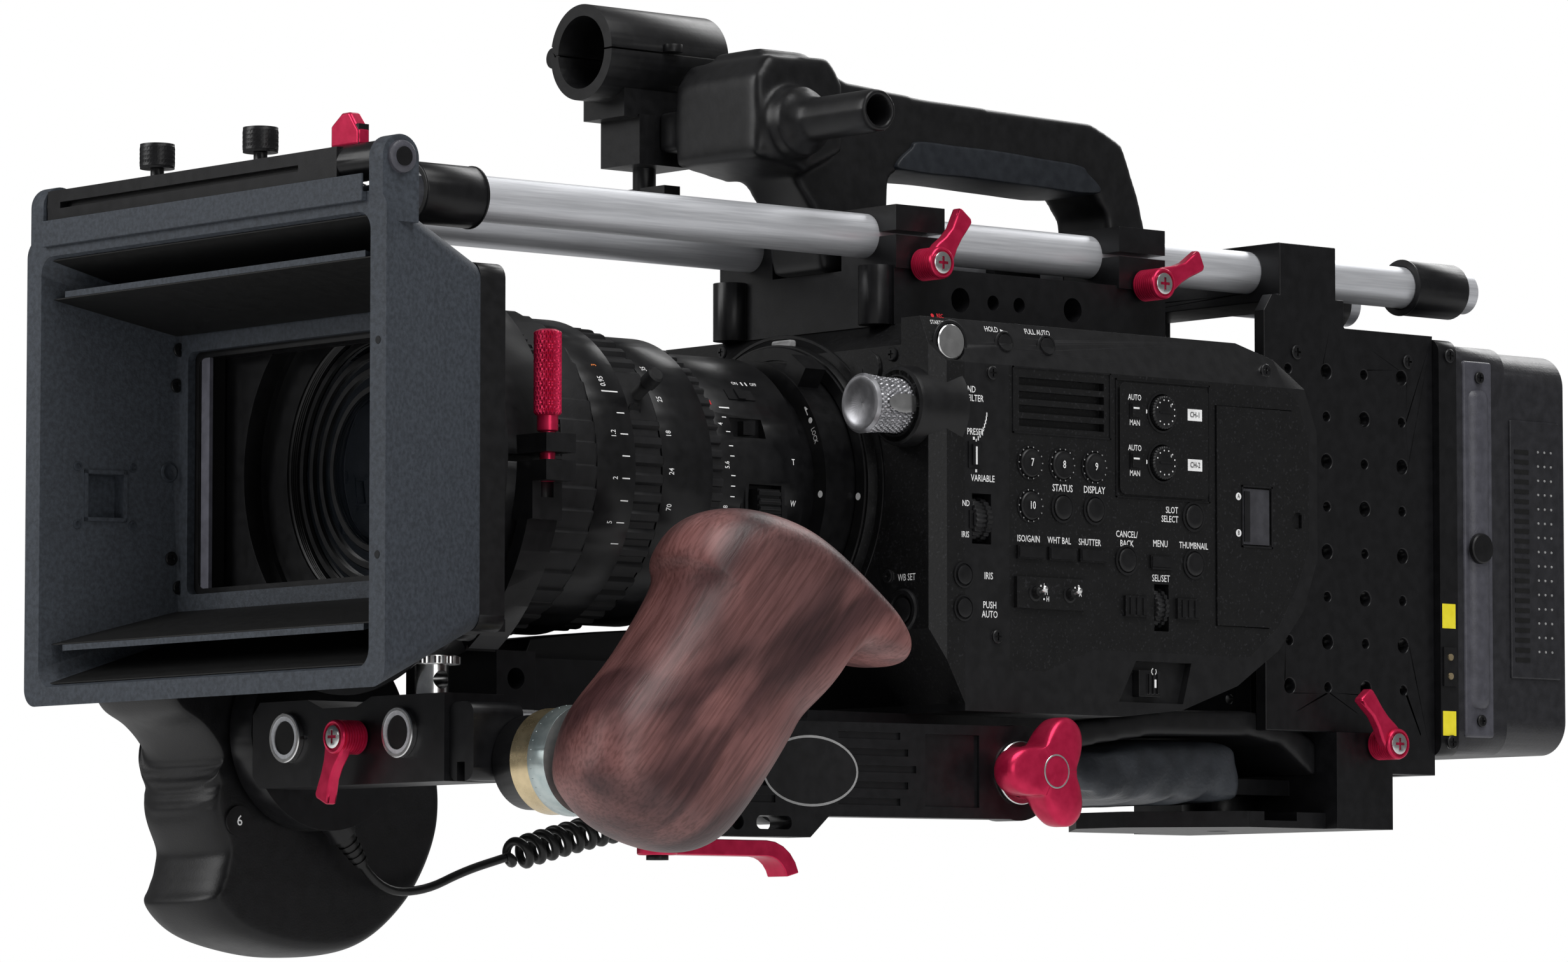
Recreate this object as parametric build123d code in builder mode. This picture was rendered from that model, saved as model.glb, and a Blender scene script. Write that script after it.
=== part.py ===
from build123d import *
from math import cos, hypot, pi, radians, sin, tan
import os

os.makedirs("parts", exist_ok=True)

# ---------------------------------------------------------------- main sizes, millimetres
# Frame: +Z up, the lens looks along -Y, +X is the operator's left.
# The origin is the mouth of the tripod socket under the wedge plate.
lens_z = 111.0
top_rod_z = 197.0
low_rod_z = 24.0
rod_half_gap = 30.0
rod_r = 7.5
rod_fit = 0.05
run_fit = 0.06

hood_front_y = -448.0
hood_back_y = -398.0
stage_back_y = -382.0
lens_front_y = -380.0
casing_front_y = -206.0
body_front_y = -192.0
body_rear_y = -27.0
body_left_x = 78.0
body_right_x = -76.0
body_bottom_z = 35.0
body_top_z = 166.0
plate_top_z = 186.0
wall = 3.0
tripod_r = 4.2


# ---------------------------------------------------------------- shape helpers
def block(x0, x1, y0, y1, z0, z1, mode=Mode.ADD):
    centre = ((x0 + x1) / 2, (y0 + y1) / 2, (z0 + z1) / 2)
    with Locations(centre):
        Box(x1 - x0, y1 - y0, z1 - z0, mode=mode)


def cyl_x(y, z, x0, x1, r, mode=Mode.ADD):
    with BuildSketch(Plane(origin=(x0, y, z), x_dir=(0, 1, 0), z_dir=(1, 0, 0))) as outline:
        Circle(r)
    extrude(outline.sketch, amount=x1 - x0, mode=mode)


def cyl_y(x, z, y0, y1, r, mode=Mode.ADD):
    with BuildSketch(Plane(origin=(x, y0, z), x_dir=(-1, 0, 0), z_dir=(0, 1, 0))) as outline:
        Circle(r)
    extrude(outline.sketch, amount=y1 - y0, mode=mode)


def cyl_z(x, y, z0, z1, r, mode=Mode.ADD):
    with BuildSketch(Plane.XY.offset(z0)) as outline:
        with Locations((x, y)):
            Circle(r)
    extrude(outline.sketch, amount=z1 - z0, mode=mode)


def ring_y(y0, y1, r_in, r_out, mode=Mode.ADD):
    with BuildSketch(Plane(origin=(0, y0, lens_z), x_dir=(-1, 0, 0), z_dir=(0, 1, 0))) as outline:
        Circle(r_out)
        Circle(r_in, mode=Mode.SUBTRACT)
    extrude(outline.sketch, amount=y1 - y0, mode=mode)


def prism_x(points, x0, x1, mode=Mode.ADD):
    # points are (y, z)
    with BuildSketch(Plane(origin=(x0, 0, 0), x_dir=(0, 1, 0), z_dir=(1, 0, 0))) as outline:
        with BuildLine():
            Polyline(*points, close=True)
        make_face()
    extrude(outline.sketch, amount=x1 - x0, mode=mode)


def prism_y(points, y0, y1, mode=Mode.ADD):
    # points are (x, z)
    flipped = [(-x, z) for x, z in points]
    with BuildSketch(Plane(origin=(0, y0, 0), x_dir=(-1, 0, 0), z_dir=(0, 1, 0))) as outline:
        with BuildLine():
            Polyline(*flipped, close=True)
        make_face()
    extrude(outline.sketch, amount=y1 - y0, mode=mode)


def prism_z(points, z0, z1, mode=Mode.ADD):
    with BuildSketch(Plane.XY.offset(z0)) as outline:
        with BuildLine():
            Polyline(*points, close=True)
        make_face()
    extrude(outline.sketch, amount=z1 - z0, mode=mode)


def rounded_x(y0, y1, z0, z1, x0, x1, r, mode=Mode.ADD):
    centre = (x0, (y0 + y1) / 2, (z0 + z1) / 2)
    with BuildSketch(Plane(origin=centre, x_dir=(0, 1, 0), z_dir=(1, 0, 0))) as outline:
        RectangleRounded(y1 - y0, z1 - z0, r)
    extrude(outline.sketch, amount=x1 - x0, mode=mode)


def rounded_y(x0, x1, z0, z1, y0, y1, r, mode=Mode.ADD):
    centre = ((x0 + x1) / 2, y0, (z0 + z1) / 2)
    with BuildSketch(Plane(origin=centre, x_dir=(-1, 0, 0), z_dir=(0, 1, 0))) as outline:
        RectangleRounded(x1 - x0, z1 - z0, r)
    extrude(outline.sketch, amount=y1 - y0, mode=mode)


def lever_x(x0, y, z, reach_y, reach_z, hub_r=5.6, hub_len=11.0):
    # a clamp lever whose screw lies along X; the tapered arm leaves the hub sideways
    span = hypot(reach_y, reach_z)
    uy = reach_y / span
    uz = reach_z / span
    cyl_x(y, z, x0, x0 + hub_len, hub_r)
    near = hub_r * 0.85
    arm = [
        (y - uz * near, z + uy * near),
        (y + reach_y * 0.75 - uz * 3.0, z + reach_z * 0.75 + uy * 3.0),
        (y + reach_y - uz * 4.2, z + reach_z + uy * 4.2),
        (y + reach_y + uz * 1.8, z + reach_z - uy * 1.8),
        (y + uz * near, z - uy * near),
    ]
    prism_x(arm, x0 + hub_len - 5.0, x0 + hub_len - 0.5)


def screw_x(x0, x1, y, z, r):
    cyl_x(y, z, x0, x1, r)
    block(x1 - 0.6, x1 + 0.1, y - r * 0.6, y + r * 0.6, z - 0.4, z + 0.4, mode=Mode.SUBTRACT)
    block(x1 - 0.6, x1 + 0.1, y - 0.4, y + 0.4, z - r * 0.6, z + r * 0.6, mode=Mode.SUBTRACT)


def screw_y(y0, y1, x, z, r):
    # the head is at y0 and faces -Y
    cyl_y(x, z, y0, y1, r)
    block(x - r * 0.6, x + r * 0.6, y0 - 0.1, y0 + 0.6, z - 0.4, z + 0.4, mode=Mode.SUBTRACT)
    block(x - 0.4, x + 0.4, y0 - 0.1, y0 + 0.6, z - r * 0.6, z + r * 0.6, mode=Mode.SUBTRACT)


def inset(points, depth):
    # moves each point of a counterclockwise outline inwards along its normal
    moved = []
    for before, here, after in zip([points[-1]] + points[:-1], points, points[1:] + [points[0]]):
        along_y = after[0] - before[0]
        along_z = after[1] - before[1]
        span = hypot(along_y, along_z)
        moved.append((here[0] - along_z / span * depth, here[1] + along_y / span * depth))
    return moved


def smooth(points, steps):
    # closed outline through the points, with extra points on a rounded curve between them
    count = len(points)
    dense = []
    for i in range(count):
        p0 = points[i - 1]
        p1 = points[i]
        p2 = points[(i + 1) % count]
        p3 = points[(i + 2) % count]
        for step in range(steps):
            t = step / steps
            dense.append(tuple(
                0.5 * (2 * b + (c - a) * t + (2 * a - 5 * b + 4 * c - d) * t ** 2
                       + (3 * b - a - 3 * c + d) * t ** 3)
                for a, b, c, d in zip(p0, p1, p2, p3)
            ))
    return dense


def sculpted_x(outline, sections):
    # solid between successive copies of an outline, each at its own x and inset by its own depth
    for (near_x, near_depth), (far_x, far_depth) in zip(sections, sections[1:]):
        slices = []
        for x, depth in ((near_x, near_depth), (far_x, far_depth)):
            with BuildSketch(Plane(origin=(x, 0, 0), x_dir=(0, 1, 0), z_dir=(1, 0, 0))) as cut:
                with BuildLine():
                    Polyline(*inset(smooth(outline, 2), depth), close=True)
                make_face()
            slices.append(cut.sketch)
        loft(slices, ruled=True)


def save(part, name):
    part.label = name
    export_step(part, f"parts/{name}.step")


# ---------------------------------------------------------------- camera body
record_y = -196.2
record_z = 157.2
filter_knob_at = (66.0, 136.0)
iris_dial_at = (-184.5, 99.0)
wheel_axle_x = 72.6
select_at = (-102.0, 72.5)
power_at = (-107.0, 47.5)
door_outline = [(-76.0, 67.5), (-51.0, 67.5), (-41.5, 80.5), (-35.0, 97.0), (-35.0, 133.0),
                (-39.5, 143.0), (-76.0, 143.0)]
panel_depth = 4.0
panel_face_x = body_left_x
# above this height the left face leans inwards
lean_z = 151.0
lean_rise = 16.0
lean_run = 7.0
lean_normal = Vector(lean_rise, 0, lean_run).normalized()
lean_cut = [
    (body_left_x, lean_z),
    (body_left_x + 2.0, lean_z),
    (body_left_x + 2.0, lean_z + lean_rise + 1.0),
    (body_left_x - lean_run * (lean_rise + 1.0) / lean_rise, lean_z + lean_rise + 1.0),
]


def lean_disc(y, z, out0, out1, r, mode=Mode.ADD):
    # a disc on the leaning face, from out0 to out1 along the face's normal
    face_x = body_left_x - lean_run * (z - lean_z) / lean_rise
    origin = Vector(face_x, y, z) + lean_normal * out0
    with BuildSketch(Plane(origin=origin, x_dir=(0, 1, 0), z_dir=lean_normal)) as outline:
        Circle(r)
    extrude(outline.sketch, amount=out1 - out0, mode=mode)


shell_profile = [
    (body_front_y, body_top_z),
    (-60.0, body_top_z),
    (-44.0, 161.0),
    (-33.0, 151.0),
    (body_rear_y, 136.0),
    (body_rear_y, 92.0),
    (-34.0, 74.0),
    (-46.0, 60.0),
    (-66.0, 47.0),
    (-92.0, 38.0),
    (-120.0, body_bottom_z),
    (body_front_y, body_bottom_z),
]
cavity_profile = [
    (body_front_y - 1.0, body_top_z - wall),
    (-61.0, body_top_z - wall),
    (-46.0, 158.0),
    (-36.0, 149.0),
    (-30.5, 135.0),
    (-30.5, 93.0),
    (-37.0, 76.0),
    (-48.0, 63.0),
    (-68.0, 50.5),
    (-93.0, 41.5),
    (-120.0, body_bottom_z + wall),
    (body_front_y - 1.0, body_bottom_z + wall),
]
panel_profile = [
    (-172.0, 151.0),
    (-172.0, 49.0),
    (-156.0, 49.0),
    (-134.0, 57.0),
    (-60.0, 57.0),
    (-46.0, 68.0),
    (-37.0, 82.0),
    (-31.0, 96.0),
    (-31.0, 134.0),
    (-36.0, 146.0),
    (-42.0, 151.0),
]

with BuildPart() as body_shell:
    prism_x(shell_profile, body_right_x, body_left_x)
    prism_x(cavity_profile, body_right_x + wall, body_left_x - panel_depth - wall, mode=Mode.SUBTRACT)
    # recess for the control panel
    prism_x(panel_profile, body_left_x - panel_depth, body_left_x + 1.0, mode=Mode.SUBTRACT)
    # leaning upper strip with its two small buttons
    prism_y(lean_cut, body_front_y - 1.0, body_rear_y + 1.0, mode=Mode.SUBTRACT)
    for button_y in (-171.2, -152.0):
        lean_disc(button_y, 158.6, -0.5, 0.8, 3.0)
    lean_disc(record_y, record_z, -4.0, 4.0, 6.3, mode=Mode.SUBTRACT)
    # iris dial well, select wheel well and power switch recess
    for (y, z), half_y, half_z in ((iris_dial_at, 4.3, 8.4), (select_at, 3.4, 8.0)):
        block(70.0, 79.0, y - half_y, y + half_y, z - half_z, z + half_z, mode=Mode.SUBTRACT)
        cyl_y(wheel_axle_x, z, y - half_y - 1.0, y + half_y + 1.0, 1.2)
    prism_x([(-122.0, 40.0), (-92.0, 40.0), (-88.0, 54.0), (-114.0, 54.0)],
            body_left_x - 3.0, body_left_x + 1.0, mode=Mode.SUBTRACT)
    # air outlet grille on the right side
    for row in range(7):
        vent_z = 80.0 + row * 8.0
        block(body_right_x - 1.0, body_right_x + wall + 1.0, -130.0, -80.0, vent_z, vent_z + 4.0,
              mode=Mode.SUBTRACT)
    # socket for the hand grip cord on the right side
    cyl_x(-149.4, 62.0, body_right_x - 1.0, body_right_x + wall + 1.0, 4.0, mode=Mode.SUBTRACT)
save(body_shell.part, "body_shell")

with BuildPart() as front_casing:
    plan = [
        (-62.0, casing_front_y),
        (75.5, casing_front_y),
        (body_left_x, -200.0),
        (body_left_x, body_front_y),
        (body_right_x, body_front_y),
        (body_right_x, -196.0),
    ]
    prism_z(plan, body_bottom_z, body_top_z)
    # sloping chin and sloping brow
    prism_x([(-215.0, 68.0), (-206.0, 62.0), (-190.0, 34.0), (-190.0, 20.0), (-215.0, 20.0)],
            -90.0, 90.0, mode=Mode.SUBTRACT)
    prism_x([(-215.0, 157.0), (-206.0, 157.0), (-192.0, 167.0), (-215.0, 175.0)],
            -90.0, 62.0, mode=Mode.SUBTRACT)
    # leaning upper strip and the well of the record button
    prism_y(lean_cut, casing_front_y - 1.0, body_front_y + 1.0, mode=Mode.SUBTRACT)
    lean_disc(record_y, record_z, -4.0, 4.0, 6.3, mode=Mode.SUBTRACT)
    ring_y(casing_front_y - 4.0, casing_front_y + 1.0, 34.0, 50.0)
    # light path to the sensor and room for the filter wheel
    cyl_y(0.0, lens_z, casing_front_y - 5.0, body_front_y + 1.0, 34.0, mode=Mode.SUBTRACT)
    ring_y(-196.0, body_front_y + 1.0, 33.0, 48.0, mode=Mode.SUBTRACT)
    # collar of the filter knob and the bore of its shaft
    cyl_y(filter_knob_at[0], filter_knob_at[1], -212.0, -198.0, 12.0)
    cyl_y(filter_knob_at[0], filter_knob_at[1], -213.0, -200.0, 9.8, mode=Mode.SUBTRACT)
    cyl_y(filter_knob_at[0], filter_knob_at[1], -201.0, -183.0, 3.0, mode=Mode.SUBTRACT)
    # wide front button
    cyl_y(46.0, 150.0, casing_front_y - 1.2, casing_front_y + 1.0, 6.0)
save(front_casing.part, "front_casing")

assign_rows = [(-162.8, 118.8), (-148.2, 118.8), (-133.4, 118.8)]
plain_rows = [(-162.8, 104.4), (-148.0, 104.4), (-133.2, 104.4)]
menu_rows = [(-118.4, 88.0), (-86.7, 88.0), (-86.9, 104.2)]

with BuildPart() as side_panel:
    prism_x(panel_profile, body_left_x - panel_depth, panel_face_x)
    # card door opening
    prism_x(inset(door_outline, -0.35), body_left_x - 3.5, body_left_x + 1.0, mode=Mode.SUBTRACT)
    # four air slots
    for row in range(4):
        slot_z = 131.0 + row * 4.6
        block(body_left_x - 2.5, body_left_x + 1.0, -167.5, -128.5, slot_z, slot_z + 2.6,
              mode=Mode.SUBTRACT)
    # round buttons
    for y, z in assign_rows:
        cyl_x(y, z, body_left_x - 0.5, body_left_x + 0.9, 4.8)
    for y, z in plain_rows + menu_rows:
        cyl_x(y, z, body_left_x - 0.5, body_left_x + 0.9, 4.0)
    # three long keys and the menu key
    for step in range(3):
        key_y = -169.0 + step * 14.2
        block(body_left_x - 0.5, body_left_x + 1.2, key_y, key_y + 12.4, 86.5, 91.0)
    block(body_left_x - 0.5, body_left_x + 0.9, -107.5, -97.5, 85.8, 90.2)
    # raised frame of the sound controls with two dials and two switches
    rounded_x(-122.0, -80.3, 110.4, 148.4, body_left_x - 0.5, body_left_x + 1.0, 2.5)
    for z in (139.0, 121.8):
        cyl_x(-102.4, z, body_left_x + 0.5, body_left_x + 2.2, 5.6)
        block(body_left_x + 0.5, body_left_x + 1.9, -117.0, -113.4, z - 2.2, z + 2.2)
    # guard block with the two toggle switches
    block(body_left_x - 0.5, body_left_x + 1.6, -170.0, -138.0, 70.0, 80.5)
    for y in (-161.8, -146.1):
        cyl_x(y, 75.5, body_left_x + 1.0, body_left_x + 4.0, 1.6)
    # well of the select wheel and its two side keys
    block(body_left_x - 5.0, body_left_x + 3.0, select_at[0] - 3.4, select_at[0] + 3.4,
          select_at[1] - 8.0, select_at[1] + 8.0, mode=Mode.SUBTRACT)
    for y in (-114.3, -89.9):
        block(body_left_x - 0.5, body_left_x + 1.2, y - 5.5, y + 5.5, 69.0, 76.0)
save(side_panel.part, "side_panel")

with BuildPart() as card_door:
    prism_x(door_outline, body_left_x - 3.0, body_left_x + 0.6)
    # window pocket and finger notch
    rounded_x(-64.0, -50.0, 95.0, 116.0, body_left_x - 0.6, body_left_x + 1.0, 2.0,
              mode=Mode.SUBTRACT)
    cyl_x(-37.0, 105.0, body_left_x - 1.0, body_left_x + 1.0, 3.0, mode=Mode.SUBTRACT)
save(card_door.part, "card_door")

with BuildPart() as record_button:
    lean_disc(record_y, record_z, -1.6, 1.0, 6.2)
    lean_disc(record_y, record_z, -2.6, -1.0, 4.0)
save(record_button.part, "record_button")

with BuildPart() as filter_knob:
    cyl_y(filter_knob_at[0], filter_knob_at[1], -228.0, -201.0, 9.3)
    cyl_y(filter_knob_at[0], filter_knob_at[1], -229.0, -226.5, 6.5, mode=Mode.SUBTRACT)
    cyl_y(filter_knob_at[0], filter_knob_at[1], -202.0, -186.0, 2.94)
save(filter_knob.part, "filter_knob")

wheel_z = lens_z - 24.0
with BuildPart() as filter_wheel:
    # a disc of four filters behind the mount, turned by the knob through the body's gearing
    cyl_y(0.0, wheel_z, -181.0, -178.6, 45.0)
    for step in range(4):
        angle = radians(90.0 * step)
        hole_x = 24.0 * sin(angle)
        hole_z = wheel_z + 24.0 * cos(angle)
        cyl_y(hole_x, hole_z, -182.0, -178.0, 14.0, mode=Mode.SUBTRACT)
    cyl_y(0.0, wheel_z, -182.0, -178.0, 3.0 + run_fit, mode=Mode.SUBTRACT)
save(filter_wheel.part, "filter_wheel")

with BuildPart() as sensor_block:
    block(-26.0, 26.0, -170.0, -158.0, 92.0, 130.0)
    block(-14.0, 14.0, -171.5, -169.0, 102.5, 119.5)
    for fin in range(7):
        fin_x = -24.0 + fin * 7.6
        block(fin_x, fin_x + 2.4, -159.0, -140.0, 94.0, 128.0)
    # carrier with the wheel's axle
    block(-30.0, 30.0, -176.0, -169.0, 38.0, 92.5)
    cyl_y(0.0, wheel_z, -183.0, -175.0, 3.0)
    block(-14.1, 14.1, -176.5, -171.0, 88.0, 93.0, mode=Mode.SUBTRACT)
save(sensor_block.part, "sensor_block")

with BuildPart() as main_board:
    block(-60.0, -57.0, -136.0, -60.0, 62.0, 150.0)
    block(-57.0, -50.0, -125.0, -100.0, 110.0, 135.0)
    block(-57.0, -47.0, -92.0, -72.0, 80.0, 104.0)
    block(-73.0, -60.0, -130.0, -124.0, 70.0, 76.0)
    block(-73.0, -60.0, -72.0, -66.0, 136.0, 142.0)
save(main_board.part, "main_board")

with BuildPart() as iris_dial:
    cyl_y(wheel_axle_x, iris_dial_at[1], iris_dial_at[0] - 3.9, iris_dial_at[0] + 3.9, 7.6)
    cyl_y(wheel_axle_x, iris_dial_at[1], -190.0, -170.0, 1.2 + run_fit, mode=Mode.SUBTRACT)
save(iris_dial.part, "iris_dial")

with BuildPart() as select_wheel:
    cyl_y(wheel_axle_x, select_at[1], select_at[0] - 2.9, select_at[0] + 2.9, 7.2)
    cyl_y(wheel_axle_x, select_at[1], -110.0, -94.0, 1.2 + run_fit, mode=Mode.SUBTRACT)
save(select_wheel.part, "select_wheel")

with BuildPart() as power_switch:
    block(75.2, 78.4, power_at[0] - 6.0, power_at[0] + 4.0, 42.0, 51.0)
    for rib in range(3):
        rib_y = power_at[0] - 2.0 + rib * 2.0
        block(78.0, 79.2, rib_y, rib_y + 0.8, 43.0, 50.0)
save(power_switch.part, "power_switch")

# ---------------------------------------------------------------- top plate, rods and handle
with BuildPart() as top_plate:
    block(-45.0, 45.0, -194.0, -68.0, body_top_z, plate_top_z)
    # light well in the middle and side holes
    block(-20.0, 20.0, -160.0, -84.0, body_top_z - 1.0, plate_top_z + 1.0, mode=Mode.SUBTRACT)
    for y, r in ((-164.0, 4.2), (-149.0, 2.6), (-137.0, 2.6), (-112.0, 4.2)):
        cyl_x(y, 176.0, 36.0, 46.0, r, mode=Mode.SUBTRACT)
        cyl_x(y, 176.0, -46.0, -36.0, r, mode=Mode.SUBTRACT)
    for side in (-1, 1):
        cyl_z(side * 38.0, -196.0, body_top_z, plate_top_z, 6.0)
        for clamp_y0 in (-194.0, -91.0):
            x0 = min(side * 18.0, side * 46.0)
            x1 = max(side * 18.0, side * 46.0)
            block(x0, x1, clamp_y0, clamp_y0 + 22.0, plate_top_z - 1.0, 206.5)
            # saw cut that lets the clamp close
            cut0 = min(side * 36.0, side * 47.0)
            cut1 = max(side * 36.0, side * 47.0)
            block(cut0, cut1, clamp_y0 - 1.0, clamp_y0 + 23.0, 196.2, 197.8, mode=Mode.SUBTRACT)
        cyl_y(side * rod_half_gap, top_rod_z, -195.0, -68.0, rod_r + rod_fit, mode=Mode.SUBTRACT)
save(top_plate.part, "top_plate")

with BuildPart() as top_rods:
    for side in (-1, 1):
        cyl_y(side * rod_half_gap, top_rod_z, -384.0, 97.0, rod_r)
        cyl_y(side * rod_half_gap, top_rod_z, -385.0, 98.0, 5.5, mode=Mode.SUBTRACT)
save(top_rods.part, "top_rods")

with BuildPart() as rod_caps:
    for side in (-1, 1):
        cyl_y(side * rod_half_gap, top_rod_z, -388.0, -363.0, 10.0)
        cyl_y(side * rod_half_gap, top_rod_z, 64.0, 90.0, 10.0)
        cyl_y(side * rod_half_gap, top_rod_z, -389.0, 91.0, rod_r + rod_fit, mode=Mode.SUBTRACT)
save(rod_caps.part, "rod_caps")

handle_outline = [
    (-235.0, 222.0),
    (-235.0, 249.0),
    (-229.0, 257.0),
    (-200.0, 258.0),
    (-188.0, 252.0),
    (-150.0, 249.0),
    (-72.0, 247.0),
    (-58.0, 241.0),
    (-50.0, 222.0),
    (-34.0, body_top_z),
    (-60.0, body_top_z),
    (-66.0, 215.0),
    (-74.0, 224.0),
    (-160.0, 226.0),
    (-168.0, 220.0),
    (-170.0, plate_top_z),
    (-198.0, plate_top_z),
    (-202.0, 206.0),
    (-212.0, 218.0),
]
view_tube_y = -220.0
view_tube_z = 234.0
with BuildPart() as top_handle:
    prism_x(handle_outline, -14.0, 14.0)
    prism_x([(-235.0, 222.0), (-235.0, 249.0), (-229.0, 257.0), (-202.0, 257.8), (-196.0, 250.0),
             (-196.0, 226.0), (-212.0, 218.0)], -22.0, 22.0)
    # button plate on the head
    block(-12.0, 12.0, -226.0, -204.0, 256.0, 260.5)
    # cross tube for a viewfinder with its boss and stop ring, and the arm of the microphone holder
    cyl_x(view_tube_y, view_tube_z, 20.0, 30.0, 12.0)
    cyl_x(view_tube_y, view_tube_z, 29.0, 33.0, 9.5)
    cyl_x(view_tube_y, view_tube_z, 32.0, 68.0, rod_r)
    cyl_x(view_tube_y, view_tube_z, 30.0, 69.0, 5.2, mode=Mode.SUBTRACT)
    block(-34.0, -20.0, -232.0, -214.0, 228.0, 242.0)
save(top_handle.part, "top_handle")

mic_x = -46.0
mic_z = 262.0
mic_y0 = -256.0
mic_y1 = -204.0
with BuildPart() as mic_holder:
    cyl_y(mic_x, mic_z, mic_y0, mic_y1, 16.5)
    block(mic_x - 11.0, mic_x + 11.0, -246.0, -218.0, 240.0, 250.0)
    block(mic_x - 9.0, mic_x + 12.0, -240.0, -216.0, 224.0, 241.0)
    cyl_z(mic_x, -228.0, 214.0, 225.0, 4.0)
    block(mic_x - 15.0, mic_x + 15.0, -231.5, -224.5, 212.0, 217.0)
    cyl_y(mic_x, mic_z, mic_y0 - 1.0, mic_y1 + 1.0, 12.5, mode=Mode.SUBTRACT)
    block(mic_x - 20.0, mic_x + 20.0, mic_y0 - 1.0, mic_y1 + 1.0, mic_z - 0.3, mic_z + 20.0,
          mode=Mode.SUBTRACT)
    # hinge knuckles at both ends
    for y0, y1 in ((mic_y0 + 2.0, mic_y0 + 14.0), (mic_y1 - 14.0, mic_y1 - 2.0)):
        cyl_y(mic_x - 18.0, mic_z, y0, y1, 3.6)
        block(mic_x - 18.0, mic_x - 13.4, y0, y1, mic_z - 3.6, mic_z - 0.4)
    cyl_y(mic_x - 18.0, mic_z, mic_y0 + 14.1, mic_y1 - 14.1, 4.0, mode=Mode.SUBTRACT)
    cyl_y(mic_x - 18.0, mic_z, mic_y0 + 1.5, mic_y1 - 1.5, 1.6)
save(mic_holder.part, "mic_holder")

with BuildPart() as mic_cap:
    cyl_y(mic_x, mic_z, mic_y0, mic_y1, 16.5)
    cyl_y(mic_x, mic_z, mic_y0 - 1.0, mic_y1 + 1.0, 12.5, mode=Mode.SUBTRACT)
    block(mic_x - 20.0, mic_x + 20.0, mic_y0 - 1.0, mic_y1 + 1.0, mic_z - 20.0, mic_z + 0.3,
          mode=Mode.SUBTRACT)
    cyl_y(mic_x - 18.0, mic_z, mic_y0 + 14.4, mic_y1 - 14.4, 3.6)
    block(mic_x - 18.0, mic_x - 13.0, mic_y0 + 14.4, mic_y1 - 14.4, mic_z + 0.4, mic_z + 3.6)
    for y0, y1 in ((mic_y0 - 1.0, mic_y0 + 14.3), (mic_y1 - 14.3, mic_y1 + 1.0)):
        cyl_y(mic_x - 18.0, mic_z, y0, y1, 4.0, mode=Mode.SUBTRACT)
    cyl_y(mic_x - 18.0, mic_z, mic_y0, mic_y1, 1.65, mode=Mode.SUBTRACT)
    cyl_z(mic_x + 17.5, -230.0, mic_z + 0.4, mic_z + 3.0, 3.5)
save(mic_cap.part, "mic_cap")

# ---------------------------------------------------------------- lens
focus_y0 = -353.7
focus_y1 = -328.3
zoom_y0 = -311.7
zoom_y1 = -297.7
iris_y0 = -275.7
iris_y1 = -269.3
lens_rear_y = -216.0

with BuildPart() as lens_barrel:
    ring_y(lens_front_y, -354.0, 45.5, 57.0)
    ring_y(-368.0, -354.0, 40.0, 46.0)
    ring_y(-354.0, -328.0, 40.0, 49.0)
    ring_y(-328.0, -312.0, 40.0, 52.0)
    ring_y(-312.0, -297.4, 36.0, 45.0)
    ring_y(-297.4, -276.0, 36.0, 48.0)
    ring_y(-276.0, -269.0, 36.0, 41.0)
    ring_y(-269.0, -233.0, 36.0, 44.0)
    ring_y(-233.0, lens_rear_y, 30.0, 37.8)
    ring_y(lens_rear_y, -203.0, 26.0, 33.9)
    # flat pod that carries the zoom rocker, its well and the stabiliser switch
    block(36.5, 43.2, -260.0, -240.0, 82.5, 111.5)
    block(39.0, 46.0, -257.0, -243.0, 85.0, 109.0, mode=Mode.SUBTRACT)
    block(38.0, 46.0, -262.0, -248.0, 124.5, 131.0, mode=Mode.SUBTRACT)
    block(37.5, 41.0, -257.0, -252.0, 125.5, 130.0)
    # two ears that hold the rocker's pivot
    for y0, y1 in ((-257.0, -255.0), (-245.0, -243.0)):
        block(38.5, 42.0, y0, y1, 93.0, 101.0)
    cyl_y(41.0, 97.0, -256.0, -244.0, 1.0)
save(lens_barrel.part, "lens_barrel")

with BuildPart() as lens_glass:
    cyl_y(0.0, lens_z, -375.0, -368.0, 45.45)
    cyl_y(0.0, lens_z, -222.0, -217.0, 29.95)
save(lens_glass.part, "lens_glass")


def toothed_ring(y0, y1, r_in, r_out, count, tooth_depth, gap_width):
    plane = Plane(origin=(0, y0, lens_z), x_dir=(-1, 0, 0), z_dir=(0, 1, 0))
    with BuildSketch(plane) as outline:
        Circle(r_out)
        with PolarLocations(r_out, count):
            Rectangle(tooth_depth * 2, gap_width, mode=Mode.SUBTRACT)
        Circle(r_in, mode=Mode.SUBTRACT)
    extrude(outline.sketch, amount=y1 - y0)


with BuildPart() as focus_ring:
    toothed_ring(focus_y0, focus_y0 + 8.5, 49.0 + run_fit, 55.4, 72, 1.4, 2.4)
    ring_y(focus_y0 + 8.5, focus_y0 + 10.0, 49.0 + run_fit, 52.8)
    toothed_ring(focus_y0 + 10.0, focus_y1, 49.0 + run_fit, 54.2, 48, 0.9, 4.6)
save(focus_ring.part, "focus_ring")

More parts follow.
